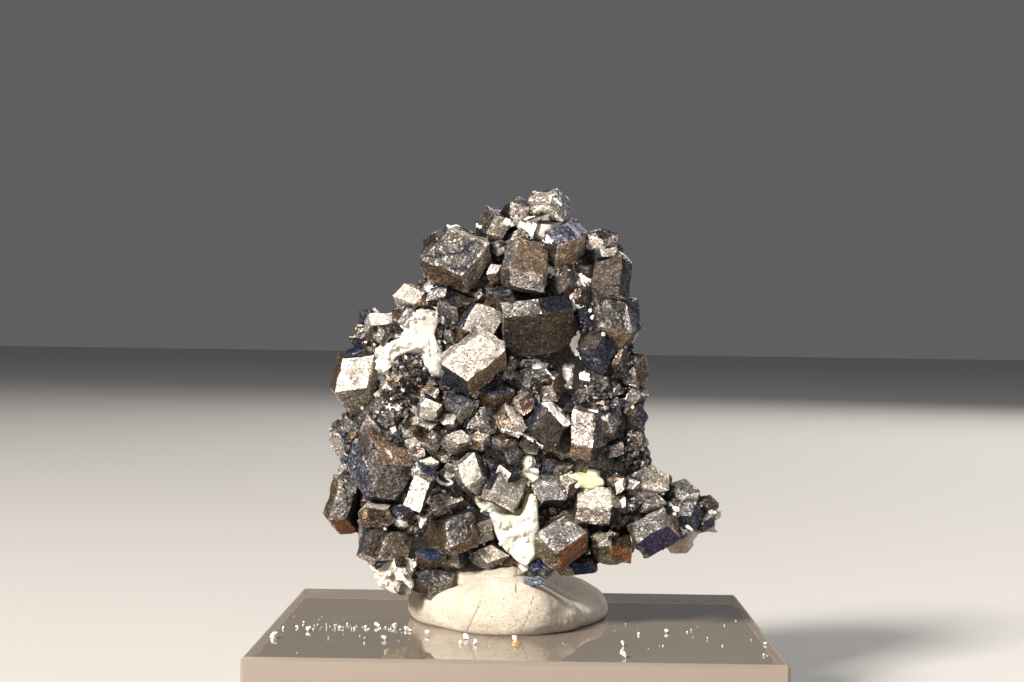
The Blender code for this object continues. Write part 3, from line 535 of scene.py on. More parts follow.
def merged(node):
    """A copy of a node's solid in millimetres with its doubles merged."""
    solid = bmesh.new()
    solid.from_mesh(node.data)
    bmesh.ops.scale(solid, vec=(1 / MM,) * 3, verts=solid.verts)
    bmesh.ops.remove_doubles(solid, verts=solid.verts, dist=0.002)
    return solid


def numbered(solid):
    """The solid with its normals worked out and its corners, edges and sides numbered."""
    solid.normal_update()
    for parts in (solid.verts, solid.edges, solid.faces):
        parts.index_update()
    return solid


def flat_sides(node):
    """A node's solid with each flat side as one face."""
    solid = merged(node)
    bmesh.ops.dissolve_limit(
        solid, angle_limit=math.radians(0.6), verts=solid.verts, edges=solid.edges
    )
    return numbered(solid)


def drift(points, size, seeds):
    """A smooth random shift that changes over about this size: one waver along each axis."""
    return np.stack([waver(points, size, seed) for seed in seeds], 1)


def warped(points):
    """Points moved a little by each warp in turn, so that nothing stays quite straight."""
    for height, size, seeds in WARPS:
        points = points + height * drift(points, size, seeds)
    return points


def facets(points, size, tilt, planes, chance):
    """How far a break moves each point: flat facets of about this size, each tilted its own way.

    Middles are scattered over the piece, each with a direction by chance. A point's offset from a
    middle along its direction, times the tilt, is the height of that facet's plane there. The
    lowest of so many nearest planes counts, and with several the chips meet in sharp edges."""
    low, high = points.min(0), points.max(0)
    count = int(np.prod(high - low) / size**3)
    middles = chance.uniform(low, high, (count, 3))
    ways = chance.normal(size=(count, 3))
    ways /= np.linalg.norm(ways, axis=1)[:, None]
    nearest = kdtree.KDTree(count)
    for i, middle in enumerate(middles):
        nearest.insert(middle, i)
    nearest.balance()
    own = np.array([[found[1] for found in nearest.find_n(point, planes)] for point in points])
    return tilt * ((points[:, None] - middles[own]) * ways[own]).sum(2).min(1)


def lattice_within(border, spacing):
    """Points in staggered rows that lie inside a flat outline and clear of it.

    A point is inside where a line from it towards +X crosses the outline an odd number of times."""
    low, high = border.min(0), border.max(0)
    rows = np.arange(low[1], high[1], spacing * 0.87)
    columns = np.arange(low[0], high[0], spacing)
    grid = np.stack(np.meshgrid(columns, rows), -1)
    grid[1::2, :, 0] += spacing / 2
    grid = grid.reshape(-1, 2)
    following = np.roll(border, -1, 0)
    run = following - border
    gap = grid[:, None] - border
    share = np.clip((gap * run).sum(2) / np.maximum((run * run).sum(1), 1e-12), 0, 1)
    away = np.linalg.norm(gap - share[..., None] * run, axis=2).min(1)
    crosses = (border[:, 1] > grid[:, None, 1]) != (following[:, 1] > grid[:, None, 1])
    climb = np.where(run[:, 1] == 0, 1e-12, run[:, 1])
    crossing = border[:, 0] + (grid[:, None, 1] - border[:, 1]) * run[:, 0] / climb
    inside = (crosses & (grid[:, None, 0] < crossing)).sum(1) % 2 == 1
    return grid[inside & (away > 0.45 * spacing)]


def cut_small(solid, spacing):
    """Cuts every flat side into small triangles of about its own spacing.

    Edges are divided evenly, the inside takes a lattice of staggered rows, and the two are joined
    by Delaunay triangles. Returns the points, the triangles, the side of each triangle, and each
    point's distance to the nearest ridge and to the nearest seam of its side."""
    points = [np.array([vert.co for vert in solid.verts])]
    total = len(solid.verts)
    on_edge = {}
    for edge in solid.edges:
        count = max(1, round(edge.calc_length() / min(spacing[face.index] for face in edge.link_faces)))
        start, end = (np.array(vert.co) for vert in edge.verts)
        points.append(start + np.arange(1, count)[:, None] / count * (end - start))
        inner = list(range(total, total + count - 1))
        total += count - 1
        on_edge[edge.index] = [edge.verts[0].index, *inner, edge.verts[1].index]
    along_edges = np.vstack(points)
    points, sides, triangles = [along_edges], [], []
    for face in solid.faces:
        ring = []
        for loop in face.loops:
            stretch = on_edge[loop.edge.index]
            ring += stretch[:-1] if loop.vert.index == stretch[0] else stretch[:0:-1]
        normal = np.array(face.normal)
        first = np.cross(normal, (0, 0, 1) if abs(normal[2]) < 0.9 else (1, 0, 0))
        first /= np.linalg.norm(first)
        flat_axes = np.stack([first, np.cross(normal, first)], 1)
        middle = np.array(face.calc_center_median())
        border = (along_edges[ring] - middle) @ flat_axes
        flat_points = np.vstack([border, lattice_within(border, spacing[face.index])])
        cut = geometry.delaunay_2d_cdt(
            [Vector(p) for p in flat_points], [], [list(range(len(border)))], 1, 1e-6
        )
        number = np.empty(len(cut[0]), np.int64)
        extra = []
        for i, origin in enumerate(cut[3]):
            if origin and origin[0] < len(ring):
                number[i] = ring[origin[0]]
            else:
                number[i] = total + len(extra)
                extra.append(middle + flat_axes @ np.array(cut[0][i]))
        if extra:
            points.append(np.array(extra))
            total += len(extra)
        triangles.append(number[np.array(cut[2], np.int64)].reshape(-1, 3))
        sides.append(np.full(len(cut[2]), face.index))
    points = np.vstack(points)
    to_edge = np.full((2, len(points)), NO_EDGE)
    for face, cut in zip(solid.faces, triangles):
        numbers = np.unique(cut)
        for edge in face.edges:
            if len(edge.link_faces) == 2 and edge.calc_face_angle() > REAL_EDGE:
                away = distance_to_line(points[numbers], [np.array(vert.co) for vert in edge.verts])
                kind = 0 if edge.is_convex else 1
                to_edge[kind, numbers] = np.minimum(to_edge[kind, numbers], away)
    return points, np.vstack(triangles), np.concatenate(sides), to_edge


def outward_at(points, triangles, sides, normals):
    """The mean normal of the sides that meet at each point, and one of those sides."""
    pairs = np.unique(np.stack([triangles.ravel(), np.repeat(sides, 3)], 1), axis=0)
    outward = np.zeros_like(points)
    np.add.at(outward, pairs[:, 0], normals[pairs[:, 1]])
    outward /= np.maximum(np.linalg.norm(outward, axis=1), 1e-9)[:, None]
    own_side = np.zeros(len(points), np.int64)
    own_side[pairs[:, 0]] = pairs[:, 1]
    return outward, own_side


def sighted(x, z):
    """What of the crystals the viewer sees at x and z: its place, its normal and its side."""
    return crystal_surface.ray_cast(EYE, (Vector((x, SEEN_PLANE, z)) - EYE).normalized())[:3]


def as_seen(points):
    """Where the viewer sees points, as x and z in the plane at SEEN_PLANE."""
    eye = np.array(EYE)
    share = (SEEN_PLANE - eye[1]) / (points[:, 1] - eye[1])
    return (eye + (points - eye) * share[:, None])[:, [0, 2]]


def nearness(seen, places):
    """How near seen points are to any of some places: exp(-d^2/r^2) for a place that spreads over r."""
    return np.max([np.exp(-((seen - (x, z)) ** 2).sum(1) / r**2) for x, z, r in places], 0)


def looks_of(finishes):
    """A row for each finish: its colour, roughness, grain, ribs and metallic value."""
    return np.array([(*colour, *nature) for colour, *nature in finishes])


solid = flat_sides(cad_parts["magnetite_crystals"])
rock = merged(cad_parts["feldspar_matrix"])
rock_surface = BVHTree.FromBMesh(rock)
rock.free()
side_normals = np.array([face.normal for face in solid.faces])
side_middles = np.array([face.calc_center_median() for face in solid.faces])
side_areas = np.array([face.calc_area() for face in solid.faces])
side_corners = [np.array([vert.co for vert in face.verts]) for face in solid.faces]
buried = np.array([rock_surface.find_nearest(Vector(p))[3] < BURIED_GAP for p in side_middles])
spacing = np.where(buried, COARSE_GRAIN, FACE_GRAIN)
spacing[~buried & (side_middles[:, 1] > REAR_FROM)] = REAR_COARSER * FACE_GRAIN
crystal_surface = BVHTree.FromBMesh(solid)
# How much of each side's outline is strong ridge, which tells a free crystal face from the ground.
strong = np.array([
    sum(edge.calc_length() for edge in face.edges
        if len(edge.link_faces) == 2 and edge.is_convex and edge.calc_face_angle() > 2 * REAL_EDGE)
    / sum(edge.calc_length() for edge in face.edges)
    for face in solid.faces
])
points, triangles, sides, (to_ridge, to_seam) = cut_small(solid, spacing)
solid.free()
outward, own_side = outward_at(points, triangles, sides, side_normals)
seen = as_seen(points)
seen_middles = seen[triangles].mean(1)
triangle_middles = points[triangles].mean(1)

# Each side takes the finish that is seen there, and any other side a common one by chance. Where two
# finishes are seen on one side, each of its triangles takes the nearer one, with a ragged border.
chance = np.random.default_rng(5)
common = chance.integers(0, len(COMMON_FINISHES), len(side_normals))
names = np.array(COMMON_FINISHES, "U8")[common][sides]
seen_on = {}
# Seen faces take finishes that are partly painted light and painted shade.
for name, places in SEEN_FACES.items():
    for x, z in places:
        side = sighted(x, z)[2]
        if side is not None:
            seen_on.setdefault(side, []).append((x, z, name))
for side, places in seen_on.items():
    mine = np.flatnonzero(sides == side)
    ragged = seen_middles[mine] + 0.35 * waver(triangle_middles[mine], 0.7, 30)[:, None]
    gaps = [np.hypot(ragged[:, 0] - x, ragged[:, 1] - z) for x, z, _ in places]
    names[mine] = np.array([name for _, _, name in places])[np.argmin(gaps, 0)]
# The streak finish paints the shade under the treads.
for line in TREAD_SHADE_STREAKS:
    width = TREAD_SHADE_HALF_WIDTH * (1 + 0.8 * waver(triangle_middles, 0.5, 31))
    names[(distance_to_line(seen_middles, line) < width) & (names == "stepped")] = "streak"
looks = looks_of([FINISHES_AND_PAINTED_LIGHT[name] for name in names])
own_triangle = np.zeros(len(points), np.int64)
own_triangle[triangles] = np.arange(len(triangles))[:, None]
grain, ribbing = looks[own_triangle, 4], looks[own_triangle, 5]

# Ribs run along the longest direction of a side.
spread = np.array([np.linalg.svd(c - c.mean(0), full_matrices=False)[2][0] for c in side_corners])
rib_across = np.cross(side_normals, spread)
across = (points * rib_across[own_side]).sum(1)
open_ground = np.clip(np.minimum(to_ridge, to_seam) / EDGE_REACH, 0, 1)
relief = GRAIN_HEIGHT * grain * chance.uniform(-1, 1, len(points)) * (0.35 + 0.65 * open_ground)
relief += SWELL_HEIGHT * grain * waver(points, 0.9, 21) * open_ground
ribs = np.sin(2 * np.pi * (across + 0.15 * waver(points, 1.2, 22)) / COARSE_RIB)
relief += RIB_HEIGHT * ribbing * ribs * open_ground
# Thin plates of growth end in low ragged steps, on some sides only.
plates = np.round(1.7 * waver(points, 1.5, 28) + 0.35 * waver(points, 0.5, 29))
relief += PLATE_HEIGHT * plates * open_ground * chance.choice((0, 0.5, 1), len(side_normals))[own_side]
relief += facets(points, FACET_SIZE, FACET_TILT, 1, chance) * open_ground
relief -= PIT_DEPTH * np.clip(waver(points, 0.55, 23) - 0.62, 0, 1) * open_ground
# The stepped face rises in coarse treads that climb to the right.
stepped_sides = [side for side, places in seen_on.items() if "stepped" in [name for _, _, name in places]]
stepped = np.isin(names, ("stepped", "streak"))[own_triangle] & np.isin(own_side, stepped_sides)
climb = seen[:, 1] - 0.3 * seen[:, 0] + 0.35 * waver(points, 1.6, 24) + 0.12 * waver(points, 0.5, 32)
treads = TREAD_HEIGHT * (climb / TREAD_GAP % 1.0) ** 1.5
treads += SMALL_TREAD_HEIGHT * (climb / SMALL_TREAD_GAP % 1.0)
relief += np.where(stepped, treads - 0.16, 0) * open_ground
wear = EDGE_WEAR * np.exp(-to_ridge / WEAR_REACH)
relief -= wear * np.clip(0.15 + 2.0 * waver(points, 0.8, 25), 0.05, 1.6)
hidden = buried[own_side]
points = warped(points + outward * np.where(hidden, 0, relief)[:, None])

# White feldspar film lies in some of the seams, and in veins.
film = nearness(seen, WHITE_SEAMS)
film *= np.clip(1.15 - to_seam / 0.5, 0, 1) * np.clip(0.75 + 0.9 * waver(points, 0.9, 26), 0, 1.2)
wavering = seen + 0.14 * drift(points, 0.6, (33, 34))
for half_width, line in WHITE_VEINS:
    film = np.maximum(film, np.clip(1.4 - distance_to_line(wavering, line) / half_width, 0, 0.75))
film *= (points[:, 1] < FILM_BACK) & (outward[:, 1] < 0.2)


def magnetite_finish():
    """Metal, coloured and roughened side by side, with dark grains and light ones painted as glints,
    ridges painted lighter as a highlight and darker towards seams, and white film.
    """
    made, shader, tree = plain_material("magnetite", (0.3, 0.29, 0.28, 1), 0.36)
    place = node_of(tree, "TexCoord").outputs["Object"]
    tint = marked(tree, "tint")
    roughness, grain, ribs = node_of(tree, "SeparateXYZ", marked(tree, "nature")["Vector"]).outputs
    # Painted glints: the light flecks brighten the colour past its own.
    fleck = node_of(tree, "TexVoronoi", Vector=place, Scale=1 / (FLECK_SIZE * MM)).outputs["Color"]
    lightness = node_of(tree, "SeparateColor", fleck).outputs[0]
    painted_glint_flecks = shades_of(tree, lightness, *FLECK_GLINT_SHADES)
    colour = mixed(tree, grain, tint["Color"], painted_glint_flecks, blend_type="MULTIPLY")
    size, dark, light = PATCH
    patch = node_of(
        tree, "MapRange", Value=noise(tree, place, size, 4.0, 0.6),
        From_Min=0.3, From_Max=0.7, To_Min=dark, To_Max=light,
    ).outputs[0]
    # Ridges painted lighter as a painted highlight, and darker towards seams.
    shading = arithmetic(tree, "MULTIPLY", patch, marked(tree, "ridge_light_seam_dark")["Fac"])
    colour = mixed(tree, 1.0, colour, shading, blend_type="MULTIPLY")
    ragged = arithmetic(tree, "ADD", marked(tree, "film")["Fac"], noise(tree, place, 0.4, 4.0))
    film = share_of(tree, ragged, 0.92, 1.02)
    metal = node_of(tree, "Math", tint["Alpha"], film, operation="SUBTRACT", use_clamp=True)
    set_up(
        tree, shader, Base_Color=mixed(tree, film, colour, FILM_COLOUR), Metallic=metal.outputs[0],
        Roughness=mixed(tree, film, roughness, FILM_ROUGHNESS, data_type="FLOAT"),
    )
    grains = arithmetic(tree, "MULTIPLY", noise(tree, place, FINE_GRAIN, 2.0), grain)
    waves = arithmetic(tree, "SINE", marked(tree, "across")["Fac"])
    height = arithmetic(tree, "ADD", grains, arithmetic(tree, "MULTIPLY", waves, ribs))
    emboss(tree, shader, height, 0.7, FINE_DEPTH)
    return made


def dress(piece, looks, rib_places=0.0, film=0.0, ridge_light_seam_dark=1.0):
    """Gives each face its colour, metallic value and nature, each corner its place across the ribs,
    and each point its share of white film and how much lighter or darker it is painted: lighter at ridges
    as a painted highlight, darker towards seams."""
    mark(piece, "tint", looks[:, [0, 1, 2, 6]], "FACE")
    mark(piece, "nature", looks[:, 3:6], "FACE")
    mark(piece, "across", np.ravel(rib_places) + np.zeros(len(piece.data.loops)), "CORNER")
    mark(piece, "film", film + np.zeros(len(piece.data.vertices)))
    mark(piece, "ridge_light_seam_dark", ridge_light_seam_dark + np.zeros(len(piece.data.vertices)))


magnetite = magnetite_finish()
crystals = piece_from(
    "magnetite_crystal_group", points, triangles, magnetite, ("magnetite_crystals",),
    "magnetite_crystals"
)
wobble = 0.06 * waver(points, 1.0, 27)
rib_places = ((points[triangles] * rib_across[sides][:, None]).sum(2) + wobble[triangles]) * 2 * np.pi
looks[:, :3] *= chance.uniform(0.85, 1.15, len(side_normals))[sides][:, None]
# Ridges are painted lighter, a painted highlight where edges catch the light, and the colour darkens
# towards the seams.
ridge_light_seam_dark = 1 + 0.9 * np.exp(-to_ridge / 0.13) * np.clip(0.5 + waver(points, 0.6, 35), 0, 1)
ridge_light_seam_dark *= 1 - 0.75 * np.exp(-to_seam / 0.4)
dress(crystals, looks, rib_places / FINE_RIB, film, ridge_light_seam_dark)

# The feldspar. White to cream, pale yellow in the hollows, broken rather than grown. Each flat side of
# the solid is cut small, spread sideways until it meets the crystals, and broken into facets.
FELDSPAR_GRAIN = 0.3
COVERED_GAP = 0.45
# How far the rock spreads outwards to meet the crystals.
FELDSPAR_GROWN = 0.36
# Large and small breaks, as their size and lean, and how much all of it rises to make up for them.
BREAKS = ((5.0, 0.34), (1.7, 0.34))
BREAK_RISE = 0.8
# How far a break may go in and out in the open, and at the foot and under the point at the right.
OPEN_RANGE = (-1.0, 0.35)
KEPT_RANGE = (-0.4, 0.1)
GRIT_HEIGHT = 0.025
ROUNDING_ROUNDS = 12
# The arch at the upper left and the patch above the putty are smooth: seen x and z, and how far.
SMOOTH_PLACES = ((-10.6, 38.6, 3.2), (-0.6, 20.0, 2.6))
# Pale yellow stains lie in the hollows, a brown painted shade under the point at the right, and a dull
# pink on some lumps: colour, and seen x, z and spread.
STAINS_AND_UNDER_SHADE = (
    ((0.74, 0.69, 0.36, 1), ((6.8, 24.9, 1.8), (-0.4, 22.2, 1.3), (0.8, 23.6, 1.3), (-3.4, 23.6, 1.2))),
    ((0.34, 0.24, 0.19, 1), ((16.2, 18.6, 2.2), (18.6, 19.8, 1.5), (13.0, 18.0, 2.0))),
    ((0.47, 0.40, 0.355, 1), ((4.8, 34.8, 1.8), (-9.2, 40.6, 1.2), (1.6, 49.6, 1.6), (-12.6, 15.2, 1.2))),
)
# Smooth places, stains and the painted shade end at this depth.
SHOWN_BACK = 2.0
FELDSPAR_COLOUR = (0.75, 0.72, 0.65, 1)
FELDSPAR_SHADES = ((0.32, (0.52, 0.485, 0.41, 1)), (0.66, (0.74, 0.725, 0.68, 1)))
CLOUD_SIZE, CRUMBLE_SIZE = 2.2, 0.2
CRUMBLE_DEPTH = 0.035


def rounded(points, triangles, times):
    """Points moved half way to the mean of their neighbours, time after time."""
    ends = np.concatenate([triangles[:, [0, 1]], triangles[:, [1, 2]], triangles[:, [2, 0]]])
    ends = np.unique(np.concatenate([ends, ends[:, ::-1]]), axis=0)
    neighbours = np.bincount(ends[:, 0], minlength=len(points))[:, None]
    for _ in range(times):
        near = np.stack([np.bincount(ends[:, 0], points[ends[:, 1], k], len(points)) for k in range(3)], 1)
        points = 0.5 * points + 0.5 * near / neighbours
    return points


def stains_and_shade_at(seen):
    """How strongly each stain, and the painted shade under the point, shows at seen points, one column for
    each.
    """
    return np.stack([nearness(seen, places) for _, places in STAINS_AND_UNDER_SHADE], 1)


feldspar_finish, shader, tree = plain_material("feldspar", FELDSPAR_COLOUR, 0.55)
place = node_of(tree, "TexCoord").outputs["Object"]
colour = shades_of(tree, noise(tree, place, CLOUD_SIZE, 6.0, 0.72), *FELDSPAR_SHADES)
shares = node_of(tree, "SeparateXYZ", marked(tree, "stain_and_shade")["Vector"]).outputs
# The brown one is painted shade under the point at the right.
for share, (stain_and_shade, _) in zip(shares, STAINS_AND_UNDER_SHADE):
    colour = mixed(tree, share, colour, stain_and_shade)
set_up(tree, shader, Base_Color=colour, Subsurface_Weight=0.08, Subsurface_Scale=0.6 * MM)
emboss(tree, shader, noise(tree, place, CRUMBLE_SIZE, 4.0, 0.75), 0.6, CRUMBLE_DEPTH)

solid = flat_sides(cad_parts["feldspar_matrix"])
# A side is covered when its middle and all its corners lie close to the crystals.
covered = np.array([
    max(crystal_surface.find_nearest(spot)[3]
        for spot in (face.calc_center_median(), *(vert.co for vert in face.verts))) < COVERED_GAP
    for face in solid.faces
])
rock_normals = np.array([face.normal for face in solid.faces])
rock_spacing = np.where(covered, COARSE_GRAIN, FELDSPAR_GRAIN)
rock_points, rock_triangles, rock_sides, _ = cut_small(solid, rock_spacing)
solid.free()
outward, _ = outward_at(rock_points, rock_triangles, rock_sides, rock_normals)
rock_seen = as_seen(rock_points)
smooth = nearness(rock_seen, SMOOTH_PLACES) * (rock_points[:, 1] < SHOWN_BACK)
broken = sum(facets(rock_points, size, lean, 4, chance) for size, lean in BREAKS) + BREAK_RISE
broken += GRIT_HEIGHT * chance.uniform(-1, 1, len(rock_points))
broken *= 1 - 0.85 * smooth
# Where it faces the viewer it stays back, and it hardly spreads under the point at the right and at
# the foot.
kept_in = (rock_points[:, 0] > 13) | (rock_points[:, 2] < 16.5) & (rock_points[:, 0] < -9)
grown = FELDSPAR_GROWN * (1 - 0.9 * np.clip(-outward[:, 1], 0, 1)) * np.where(kept_in, 0.2, 1)
softened = rounded(rock_points, rock_triangles, ROUNDING_ROUNDS)
rock_points = rock_points + (softened - rock_points) * np.clip(0.2 + smooth, 0, 1)[:, None]
lowest, highest = (np.where(kept_in, kept, free) for kept, free in zip(KEPT_RANGE, OPEN_RANGE))
broken = np.clip(broken, lowest, highest)
rock_points = warped(rock_points + outward * (grown + broken)[:, None])
feldspar = piece_from(
    "feldspar_rock", rock_points, rock_triangles, feldspar_finish, ("feldspar_matrix",), "feldspar_matrix"
)
feldspar.data.polygons.foreach_set("use_smooth", smooth[rock_triangles].mean(1) > 0.3)
mottled = (rock_points[:, 1] < SHOWN_BACK) * np.clip(0.75 + 0.6 * waver(rock_points, 0.8, 14), 0, 1)
mark(feldspar, "stain_and_shade", stains_and_shade_at(rock_seen) * mottled[:, None])

# The filled places. Feldspar runs on between its lumps in the arch and above the putty: for each, the
# depth of its front and back and its outline as seen. Its corners are worn round.
FILLS = (
    (-4.5, -0.5, ((-13.7, 35.0), (-13.5, 37.4), (-11.9, 38.6), (-11.3, 40.5), (-9.6, 41.4), (-8.2, 40.4),
                  (-8.8, 38.7), (-7.6, 36.8), (-7.7, 34.6), (-8.9, 34.8), (-9.4, 37.0), (-10.5, 37.5),
                  (-12.3, 36.6), (-12.9, 35.0))),
    (-5.9, -3.5, ((-3.0, 21.8), (-1.4, 21.0), (0.2, 21.0), (1.2, 23.0), (2.0, 22.8), (1.8, 20.6),
                  (1.8, 17.0), (0.7, 15.8), (-0.5, 16.8), (-2.3, 18.9))),
    (-5.2, -1.0, ((-15.3, 16.8), (-12.6, 17.2), (-10.4, 16.5), (-10.4, 13.6), (-11.9, 13.0),
                  (-13.7, 14.2))),
    (-4.6, -2.5, ((4.8, 25.3), (6.2, 25.6), (8.4, 25.0), (8.4, 24.2), (7.2, 23.7), (5.6, 24.1))),
)
FILL_ROUNDS = 9
# Its breaks, as their size and lean and how far they bring it forward, and its grit.
FILL_BREAK_SIZE, FILL_BREAK_LEAN, FILL_FORWARD = 1.6, 0.28, 0.2
FILL_GRIT = 0.02
FILL_WARPS = ((0.35, 2.2, (61, 62, 66)), (0.12, 0.8, (63, 64, 65)))


def at_depth(x, z, depth):
    """The place at a depth that is seen at x and z: along the line of sight, by the ratio of depths."""
    eye = np.array(EYE)
    return eye + (np.array((x, SEEN_PLANE, z)) - eye) * ((depth - EYE.y) / (SEEN_PLANE - EYE.y))


fill_points, fill_triangles, fill_count = [], [], 0
for front, back, outline in FILLS:
    solid = bmesh.new()
    flat = [at_depth(x, z, front)[[0, 2]] for x, z in outline]
    near_rim, far_rim = ([solid.verts.new((x, depth, z)) for x, z in flat] for depth in (front, back))
    solid.faces.new(near_rim)
    solid.faces.new(far_rim[::-1])
    for k in range(len(flat)):
        solid.faces.new((near_rim[k - 1], far_rim[k - 1], far_rim[k], near_rim[k]))
    bmesh.ops.recalc_face_normals(solid, faces=solid.faces)
    made, cut, _, _ = cut_small(numbered(solid), np.full(len(solid.faces), FELDSPAR_GRAIN))
    solid.free()
    made = rounded(made, cut, FILL_ROUNDS)
    made[:, 1] -= facets(made, FILL_BREAK_SIZE, FILL_BREAK_LEAN, 4, chance) + FILL_FORWARD
    for height, size, seeds in FILL_WARPS:
        made += height * drift(made, size, seeds)
    made += FILL_GRIT * chance.uniform(-1, 1, made.shape)
    fill_points.append(made)
    fill_triangles.append(cut + fill_count)
    fill_count += len(made)
fill_points, fill_triangles = np.vstack(fill_points), np.vstack(fill_triangles)
fill_seen = as_seen(fill_points)
fill = piece_from("feldspar_fill", fill_points, fill_triangles, feldspar_finish, slot="feldspar_matrix")
mark(fill, "stain_and_shade", stains_and_shade_at(fill_seen))

# The druse. Small crystals fill every gap between the large ones, and thicker patches of them
# sparkle here and there. Each is a small dodecahedron, sunk a third into what it grows on.
DRUSE_PER_AREA = 0.8
DRUSE_SIZE = (0.5, 1.6)
DRUSE_LIFT = 0.12
# Druse grows on sides with less strong ridge than this, and on large ones at the back, but smaller.
GROUND_RIDGE = 0.3
REAR_SIDE_AREA = 5
REAR_SIZE = 0.65
# Grains that line the seams, a few of them feldspar, and feldspar grains round the filled places.
SEAM_GRAINS, SEAM_GRAIN_SIZE = 700, (0.2, 0.55)
SEAM_GRAINS_WHITE = 0.12
FILL_GRAINS, FILL_GRAIN_SIZE = 90, (0.2, 0.7)
# Dark grains in the front of the feldspar: seen x and z, and size.
DARK_GRAINS = (
    (-11.8, 13.7, 1.9), (-12.4, 14.8, 0.9), (-12.9, 32.2, 0.9), (-10.7, 15.4, 1.4), (-13.6, 16.6, 1.4),
    (-12.0, 16.6, 1.5), (17.2, 19.6, 0.9), (18.8, 20.4, 0.6), (16.0, 18.9, 0.8), (14.0, 17.9, 0.9),
    (-2.6, 18.2, 1.0),
)
# Seen x and z, radius, count and largest size of the thicker patches.
DRUSE_PATCHES = (
    (-11.2, 35.2, 1.9, 60, 0.9), (11.4, 27.0, 1.3, 40, 1.0), (8.6, 33.0, 1.6, 30, 1.2),
    (-12.2, 32.0, 1.4, 36, 0.8), (-7.4, 39.8, 1.0, 14, 1.0), (8.9, 19.9, 1.2, 24, 0.7),
    (1.9, 34.0, 1.2, 16, 0.9),
)
# How many of the grains take each finish.
DRUSE_FINISHES = {
    "steel": 0.22, "dark": 0.30, "rose": 0.08, "brown": 0.20, "ink": 0.12, "sand": 0.06, "bright": 0.02,
}
TOWARDS_VIEWER = (0.0, -1.0, 0.0)


def dodecahedron():
    """Corners of a rhombic dodecahedron one across, and its twelve faces as loops of four.

    The corners are a cube's eight and one on each axis at twice the half edge. A face's corners lie
    furthest along one of the twelve directions between two axes, in order of their angle round it."""
    corners = [(x, y, z) for x in (-1, 1) for y in (-1, 1) for z in (-1, 1)]
    corners += [tuple(2 * way * (i == k) for k in range(3)) for i in range(3) for way in (-1, 1)]
    corners = np.array(corners, float)
    faces = []
    for a, b in ((0, 1), (0, 2), (1, 2)):
        for first in (-1, 1):
            for second in (-1, 1):
                normal = np.zeros(3)
                normal[a], normal[b] = first, second
                near = np.flatnonzero(corners @ normal > 1.9)
                middle = corners[near].mean(0)
                along = corners[near[0]] - middle
                side = np.cross(normal, along)
                turn = np.arctan2((corners[near] - middle) @ side, (corners[near] - middle) @ along)
                faces.append(near[np.argsort(turn)])
    return corners / 4, np.array(faces)


def random_turns(count, chance):
    """Rotation matrices spread evenly over all directions, from random unit quaternions."""
    w, x, y, z = (q := chance.normal(size=(4, count))) / np.linalg.norm(q, axis=0)
    return np.stack([
        1 - 2 * (y * y + z * z), 2 * (x * y - w * z), 2 * (x * z + w * y),
        2 * (x * y + w * z), 1 - 2 * (x * x + z * z), 2 * (y * z - w * x),
        2 * (x * z - w * y), 2 * (y * z + w * x), 1 - 2 * (x * x + y * y),
    ], -1).reshape(count, 3, 3)


def scattered(shape, faces, turns, stretches, sizes):
    """Copies of a shape: each is stretched along its axes, turned and sized. Corners and faces."""
    copies = np.einsum("nij,nkj->nki", turns, shape * stretches) * sizes[:, None, None]
    return copies, (faces + shape.shape[-2] * np.arange(len(sizes))[:, None, None]).reshape(-1, 4)


ground = strong < GROUND_RIDGE
rear = (side_middles[:, 1] > 1) & (side_areas > REAR_SIDE_AREA)
open_sides = ~buried & (ground | rear)
count = int(DRUSE_PER_AREA * side_areas[open_sides].sum())
picked = chance.choice(np.flatnonzero(open_sides[sides]), count)
spots = list(points[triangles[picked]].mean(1))
normals = list(side_normals[sides[picked]])
sizes = list(chance.uniform(*DRUSE_SIZE, count) * np.where(ground[sides[picked]], 1, REAR_SIZE))
for x, z, radius, number, largest in DRUSE_PATCHES:
    turn = chance.uniform(0, 2 * np.pi, number)
    out = radius * np.sqrt(chance.uniform(0, 1, number))
    for a, b in zip(x + out * np.cos(turn), z + out * np.sin(turn)):
        spot, normal, side = sighted(a, b)
        if side is not None and spot.y < 4:
            spots.append(spot)
            normals.append(normal)
            sizes.append(chance.uniform(0.35, 1.0) * largest)
lining = np.flatnonzero((to_seam < 0.3) & ~hidden & (points[:, 1] < 3))
lining = chance.choice(lining, SEAM_GRAINS, replace=False)
first_lining = len(spots)
spots += list(points[lining])
normals += list(side_normals[own_side[lining]])
sizes += list(chance.uniform(*SEAM_GRAIN_SIZE, SEAM_GRAINS))
rimmed = chance.choice(len(fill_points), FILL_GRAINS, replace=False)
first_rimmed = len(spots)
spots += list(fill_points[rimmed])
sizes += list(chance.uniform(*FILL_GRAIN_SIZE, FILL_GRAINS))
white_points = np.vstack([rock_points, fill_points])
white_seen = np.vstack([rock_seen, fill_seen])
for x, z, size in DARK_GRAINS:
    near = np.flatnonzero(np.hypot(*(white_seen - (x, z)).T) < 0.4)
    spots.append(white_points[near[np.argmin(white_points[near, 1])]])
    sizes.append(size)
normals += [TOWARDS_VIEWER] * (len(spots) - first_rimmed)
count = len(spots)
white = np.zeros(count)
white[first_lining:first_rimmed] = chance.uniform(0, 1, SEAM_GRAINS) < SEAM_GRAINS_WHITE
white[first_rimmed:first_rimmed + FILL_GRAINS] = 1
spots, normals, sizes = np.array(spots), np.array(normals), np.array(sizes)
shape, shape_faces = dodecahedron()
turns = random_turns(count, chance)
stretches = chance.uniform(0.8, 1.2, (count, 1, 3))
druse_points, druse_faces = scattered(shape, shape_faces, turns, stretches, sizes)
druse_points += (spots + normals * (DRUSE_LIFT * sizes[:, None]))[:, None]
druse = piece_from(
    "magnetite_druse", druse_points.reshape(-1, 3), druse_faces, magnetite, slot="magnetite_crystals"
)
